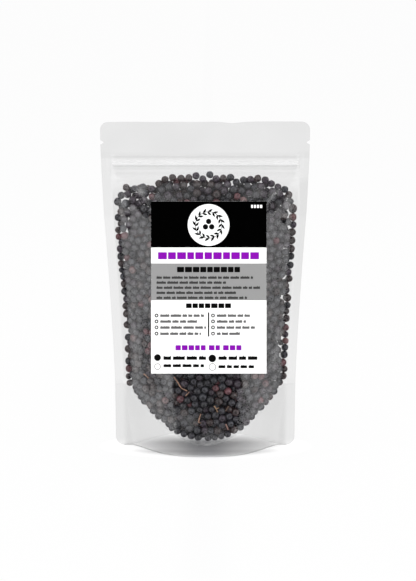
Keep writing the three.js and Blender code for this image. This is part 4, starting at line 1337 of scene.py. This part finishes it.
TAN = stalk_material("stalk_tan", (0.17, 0.085, 0.055), (0.35, 0.20, 0.135), (0.46, 0.30, 0.22))
STRAW = stalk_material("stalk_straw", (0.15, 0.085, 0.045), (0.31, 0.19, 0.115), (0.43, 0.29, 0.19))
BROWN = stalk_material("stalk_brown", (0.045, 0.026, 0.018), (0.090, 0.054, 0.036), (0.14, 0.085, 0.06))
PINK = stalk_material("stalk_pink", (0.20, 0.10, 0.085), (0.36, 0.21, 0.18), (0.48, 0.32, 0.28))
STALK = [TAN, TAN, TAN, STRAW, BROWN, PINK]


def twig(lines, seed):
    """A crooked bit of stalk with swollen ends and any side shoot."""
    rng = np.random.default_rng(seed)
    vs, fs, at = [], [], 0
    for b, line in enumerate(lines):
        q = np.array(line, float)
        s = np.concatenate([[0], np.cumsum(np.hypot(*np.diff(q, axis=0).T))])
        t = np.arange(0, s[-1] + 1e-6, 0.35)
        if s[-1] - t[-1] > 0.05:
            t = np.append(t, s[-1])
        # soften the bends a little
        x = np.interp(t, s, q[:, 0])
        z = np.interp(t, s, q[:, 1])
        for _ in range(2):
            x[1:-1] = 0.25 * x[:-2] + 0.5 * x[1:-1] + 0.25 * x[2:]
            z[1:-1] = 0.25 * z[:-2] + 0.5 * z[1:-1] + 0.25 * z[2:]
        y = -(front_inner(x, z) - 0.9) + 0.12 * np.sin(t * 1.3 + rng.uniform(0, 6))
        c = np.stack([x, y, z], -1)
        u = t / s[-1]
        rad = (0.40 if b == 0 else 0.30) * (1 - 0.25 * u) + 0.16 * np.exp(-(((u) / 0.07) ** 2)) + 0.10 * np.exp(-(((1 - u) / 0.06) ** 2))
        rad = rad * (1 + 0.08 * np.sin(7 * u + rng.uniform(0, 6)))
        d = np.gradient(c, axis=0)
        d /= np.linalg.norm(d, axis=1)[:, None]
        side = np.cross(np.array([0, 1.0, 0]), d)
        side /= np.linalg.norm(side, axis=1)[:, None]
        third = np.cross(d, side)
        a = np.linspace(0, 2 * math.pi, 9, endpoint=False)
        ridge = 1 + 0.10 * np.cos(3 * a + rng.uniform(0, 6))
        ring = c[:, None] + rad[:, None, None] * ridge[None, :, None] * (np.cos(a)[None, :, None] * side[:, None] + np.sin(a)[None, :, None] * third[:, None])
        n = len(c)
        pts = np.concatenate([ring.reshape(-1, 3), [c[0] - d[0] * 0.12], [c[-1] + d[-1] * 0.1]])
        i, j = np.meshgrid(np.arange(n - 1), np.arange(9), indexing="ij")
        i, j = i.ravel(), j.ravel()
        jj = (j + 1) % 9
        quads = np.stack([i * 9 + j, (i + 1) * 9 + j, (i + 1) * 9 + jj, i * 9 + jj], -1)[:, ::-1]
        k = np.arange(9)
        caps = np.concatenate([
            np.stack([np.full(9, n * 9), k, (k + 1) % 9], -1)[:, ::-1],
            np.stack([np.full(9, n * 9 + 1), (n - 1) * 9 + k, (n - 1) * 9 + (k + 1) % 9], -1),
        ])
        vs.append(pts)
        fs.append(quads + at)
        fs.append(caps + at)
        at += len(pts)
    return np.concatenate(vs), fs


for k, lines in enumerate(STALKS):
    v, f = twig(lines, 60 + k)
    o = build(f"twig_{k + 1}", v, f, [STALK[k]])
    place(o, "dry_stalk", f"stalk_bit_{k + 1}")

# ------------------------------------------------------------------ camera, floor, lights

cam = bpy.data.cameras.new("camera")
cam.sensor_fit = "AUTO"
cam.sensor_width = 36.0
cam.lens = 36.0 * FOCAL / 581.0
cam.clip_start, cam.clip_end = 0.01, 60
camera = bpy.data.objects.new("camera", cam)
bpy.context.scene.collection.objects.link(camera)
camera.location = Vector(EYE * MM)
camera.rotation_euler = Vector(AHEAD).to_track_quat("-Z", "Y").to_euler()
bpy.context.scene.camera = camera


def floor_plane():
    r = np.concatenate([[0.0], np.geomspace(60, 30000, 28)])
    a = np.linspace(0, 2 * math.pi, 48, endpoint=False)
    v = [[0, 0, 0]]
    for q in r[1:]:
        v += [[q * math.cos(t), q * math.sin(t), 0] for t in a]
    f3 = [[0, 1 + j, 1 + (j + 1) % 48] for j in range(48)]
    f4 = [[1 + i * 48 + j, 1 + (i + 1) * 48 + j, 1 + (i + 1) * 48 + (j + 1) % 48, 1 + i * 48 + (j + 1) % 48] for i in range(len(r) - 2) for j in range(48)]
    n = Nodes("floor_white")
    glow = n.add("ShaderNodeEmission")
    glow.inputs["Color"].default_value = (1, 1, 1, 1)
    glow.inputs["Strength"].default_value = 0.98
    squash = n.add("ShaderNodeVectorMath", operation="MULTIPLY_ADD")
    n.link(n.coord.outputs["Object"], squash.inputs[0])
    squash.inputs[1].default_value = (1 / 0.0640, 1 / 0.0240, 0)
    squash.inputs[2].default_value = (0, 0.0030 / 0.0240, 0)
    length = n.add("ShaderNodeVectorMath", operation="LENGTH")
    n.link(squash.outputs[0], length.inputs[0])
    far = n.span(length.outputs["Value"], 0.78, 1.08, 0.02, 0.97)
    place_on = n.add("ShaderNodeSeparateXYZ")
    n.link(n.coord.outputs["Object"], place_on.inputs[0])
    far = n.math("MAXIMUM", far, n.span(place_on.outputs["Y"], 0.004, 0.027, 0.0, 0.97))
    # painted shadow: the floor's colour is darkest, and faintly blue, where the base nearly touches, in the middle, and
    # a painted dark strip runs inside the front edge
    aside = n.math("ABSOLUTE", place_on.outputs["X"])
    tone = n.ramp(n.span(aside, 0.0, 0.05, 0.0, 1.0), (0.0, (0.730, 0.735, 0.765)), (0.12, (0.742, 0.747, 0.772)), (0.34, (0.94, 0.941, 0.948)), (1.0, (0.96, 0.96, 0.96)))
    strip = n.math("MULTIPLY", n.span(place_on.outputs["Y"], -0.0085, -0.014, 0.0, 1.0), n.span(length.outputs["Value"], 1.0, 0.75, 0.0, 1.0))
    tone = n.mix(n.math("MULTIPLY", strip, 0.24), tone, (0.0, 0.0, 0.0))
    p = n.principled(tone, 0.8)
    p.inputs["Specular IOR Level"].default_value = 0.0
    m = n.add("ShaderNodeMixShader")
    n.link(far, m.inputs[0])
    n.link(p.outputs[0], m.inputs[1])
    n.link(glow.outputs[0], m.inputs[2])
    n.link(m.outputs[0], n.out.inputs["Surface"])
    o = build("floor", np.array(v), [np.array(f3), np.array(f4)], [n.material], smooth_faces=False)
    o.visible_glossy = False
    return o


floor_plane()


def area(name, where, look, width, height, radiance, glossy=True, diffuse=True, tint=(1, 1, 1)):
    light = bpy.data.lights.new(name, "AREA")
    light.shape = "RECTANGLE"
    light.size, light.size_y = width * MM, height * MM
    light.energy = radiance * math.pi * width * height * 1e-6
    light.color = tint
    o = bpy.data.objects.new(name, light)
    bpy.context.scene.collection.objects.link(o)
    w, l = Vector(where) * MM, Vector(look) * MM
    o.location = w
    o.rotation_euler = (l - w).to_track_quat("-Z", "Y").to_euler()
    o.visible_camera = False
    o.visible_glossy = glossy
    o.visible_diffuse = diffuse
    return o


def around(azimuth, elevation, distance, z=90):
    a, e = math.radians(azimuth), math.radians(elevation)
    return (distance * math.sin(a) * math.cos(e), -distance * math.cos(a) * math.cos(e), z + distance * math.sin(e))


MID = (0, 0, 90)
area("soft_top", (0, 60, 1150), (0, 0, 60), 900, 900, 1.4)
area("fill_top", (0, -100, 1200), (0, 0, 0), 1000, 1000, 1.5, glossy=False)
area("fill_front", around(0, 30, 1300), MID, 900, 900, 2.3, glossy=False)

# Walls of soft light on both sides, a dark gap at the camera's side, a brighter ceiling.
world = bpy.data.worlds.new("studio")
bpy.context.scene.world = world
world.use_nodes = True
wt = world.node_tree
wt.nodes.clear()


def w_add(kind, **settings):
    n = wt.nodes.new(kind)
    for k, v in settings.items():
        setattr(n, k, v)
    return n


def w_math(op, a, b=None):
    n = w_add("ShaderNodeMath", operation=op)
    for k, v in enumerate((a, b)):
        if v is None:
            continue
        if isinstance(v, (int, float)):
            n.inputs[k].default_value = v
        else:
            wt.links.new(v, n.inputs[k])
    return n.outputs[0]


def w_step(v, a, b, low=0.0, high=1.0):
    n = w_add("ShaderNodeMapRange", interpolation_type="SMOOTHSTEP")
    for k, x in zip(("From Min", "From Max", "To Min", "To Max"), (a, b, low, high)):
        n.inputs[k].default_value = x
    wt.links.new(v, n.inputs["Value"])
    return n.outputs["Result"]


w_out = w_add("ShaderNodeOutputWorld")
seen = w_add("ShaderNodeBackground")
seen.inputs["Color"].default_value = (0.98, 0.98, 0.98, 1)
lit = w_add("ShaderNodeBackground")
lit.inputs["Color"].default_value = (1.0, 0.998, 0.995, 1)
coord = w_add("ShaderNodeTexCoord")
split = w_add("ShaderNodeSeparateXYZ")
wt.links.new(coord.outputs["Generated"], split.inputs[0])
wx, wy, wz = split.outputs
turn = w_math("ARCTAN2", w_math("ABSOLUTE", wx), w_math("MULTIPLY", wy, -1.0))  # 0 towards the camera, pi behind the pouch
rise = w_math("ARCSINE", wz)
R = math.radians
closer = w_math("MULTIPLY", w_step(rise, R(-9), R(-3)), w_step(rise, R(7), R(13), 1.0, 0.0))  # the walls reach further in at the height of the pouch's shoulders
seam = w_math("ADD", turn, w_math("MULTIPLY", closer, R(15)))
sides = w_math("MULTIPLY", w_step(seam, R(30), R(36)), w_step(turn, R(82), R(104), 1.0, 0.0))
sides = w_math("MULTIPLY", sides, w_math("MULTIPLY", w_step(rise, R(-42), R(-30)), w_step(rise, R(34), R(55), 1.0, 0.0)))
ceiling = w_step(rise, R(14), R(50), 0.0, 0.65)
under = w_step(rise, R(-34), R(-46), 0.0, 0.55)
behind = w_step(turn, R(100), R(140), 0.0, 0.30)
total = w_math("ADD", w_math("MULTIPLY", sides, 2.15), w_math("ADD", w_math("MAXIMUM", ceiling, under), w_math("ADD", behind, 0.02)))
wt.links.new(total, lit.inputs["Strength"])
path = w_add("ShaderNodeLightPath")
both = w_add("ShaderNodeMixShader")
wt.links.new(path.outputs["Is Camera Ray"], both.inputs[0])
wt.links.new(lit.outputs[0], both.inputs[1])
wt.links.new(seen.outputs[0], both.inputs[2])
wt.links.new(both.outputs[0], w_out.inputs["Surface"])

bpy.context.scene.view_settings.view_transform = "Standard"
bpy.context.scene.view_settings.look = "None"
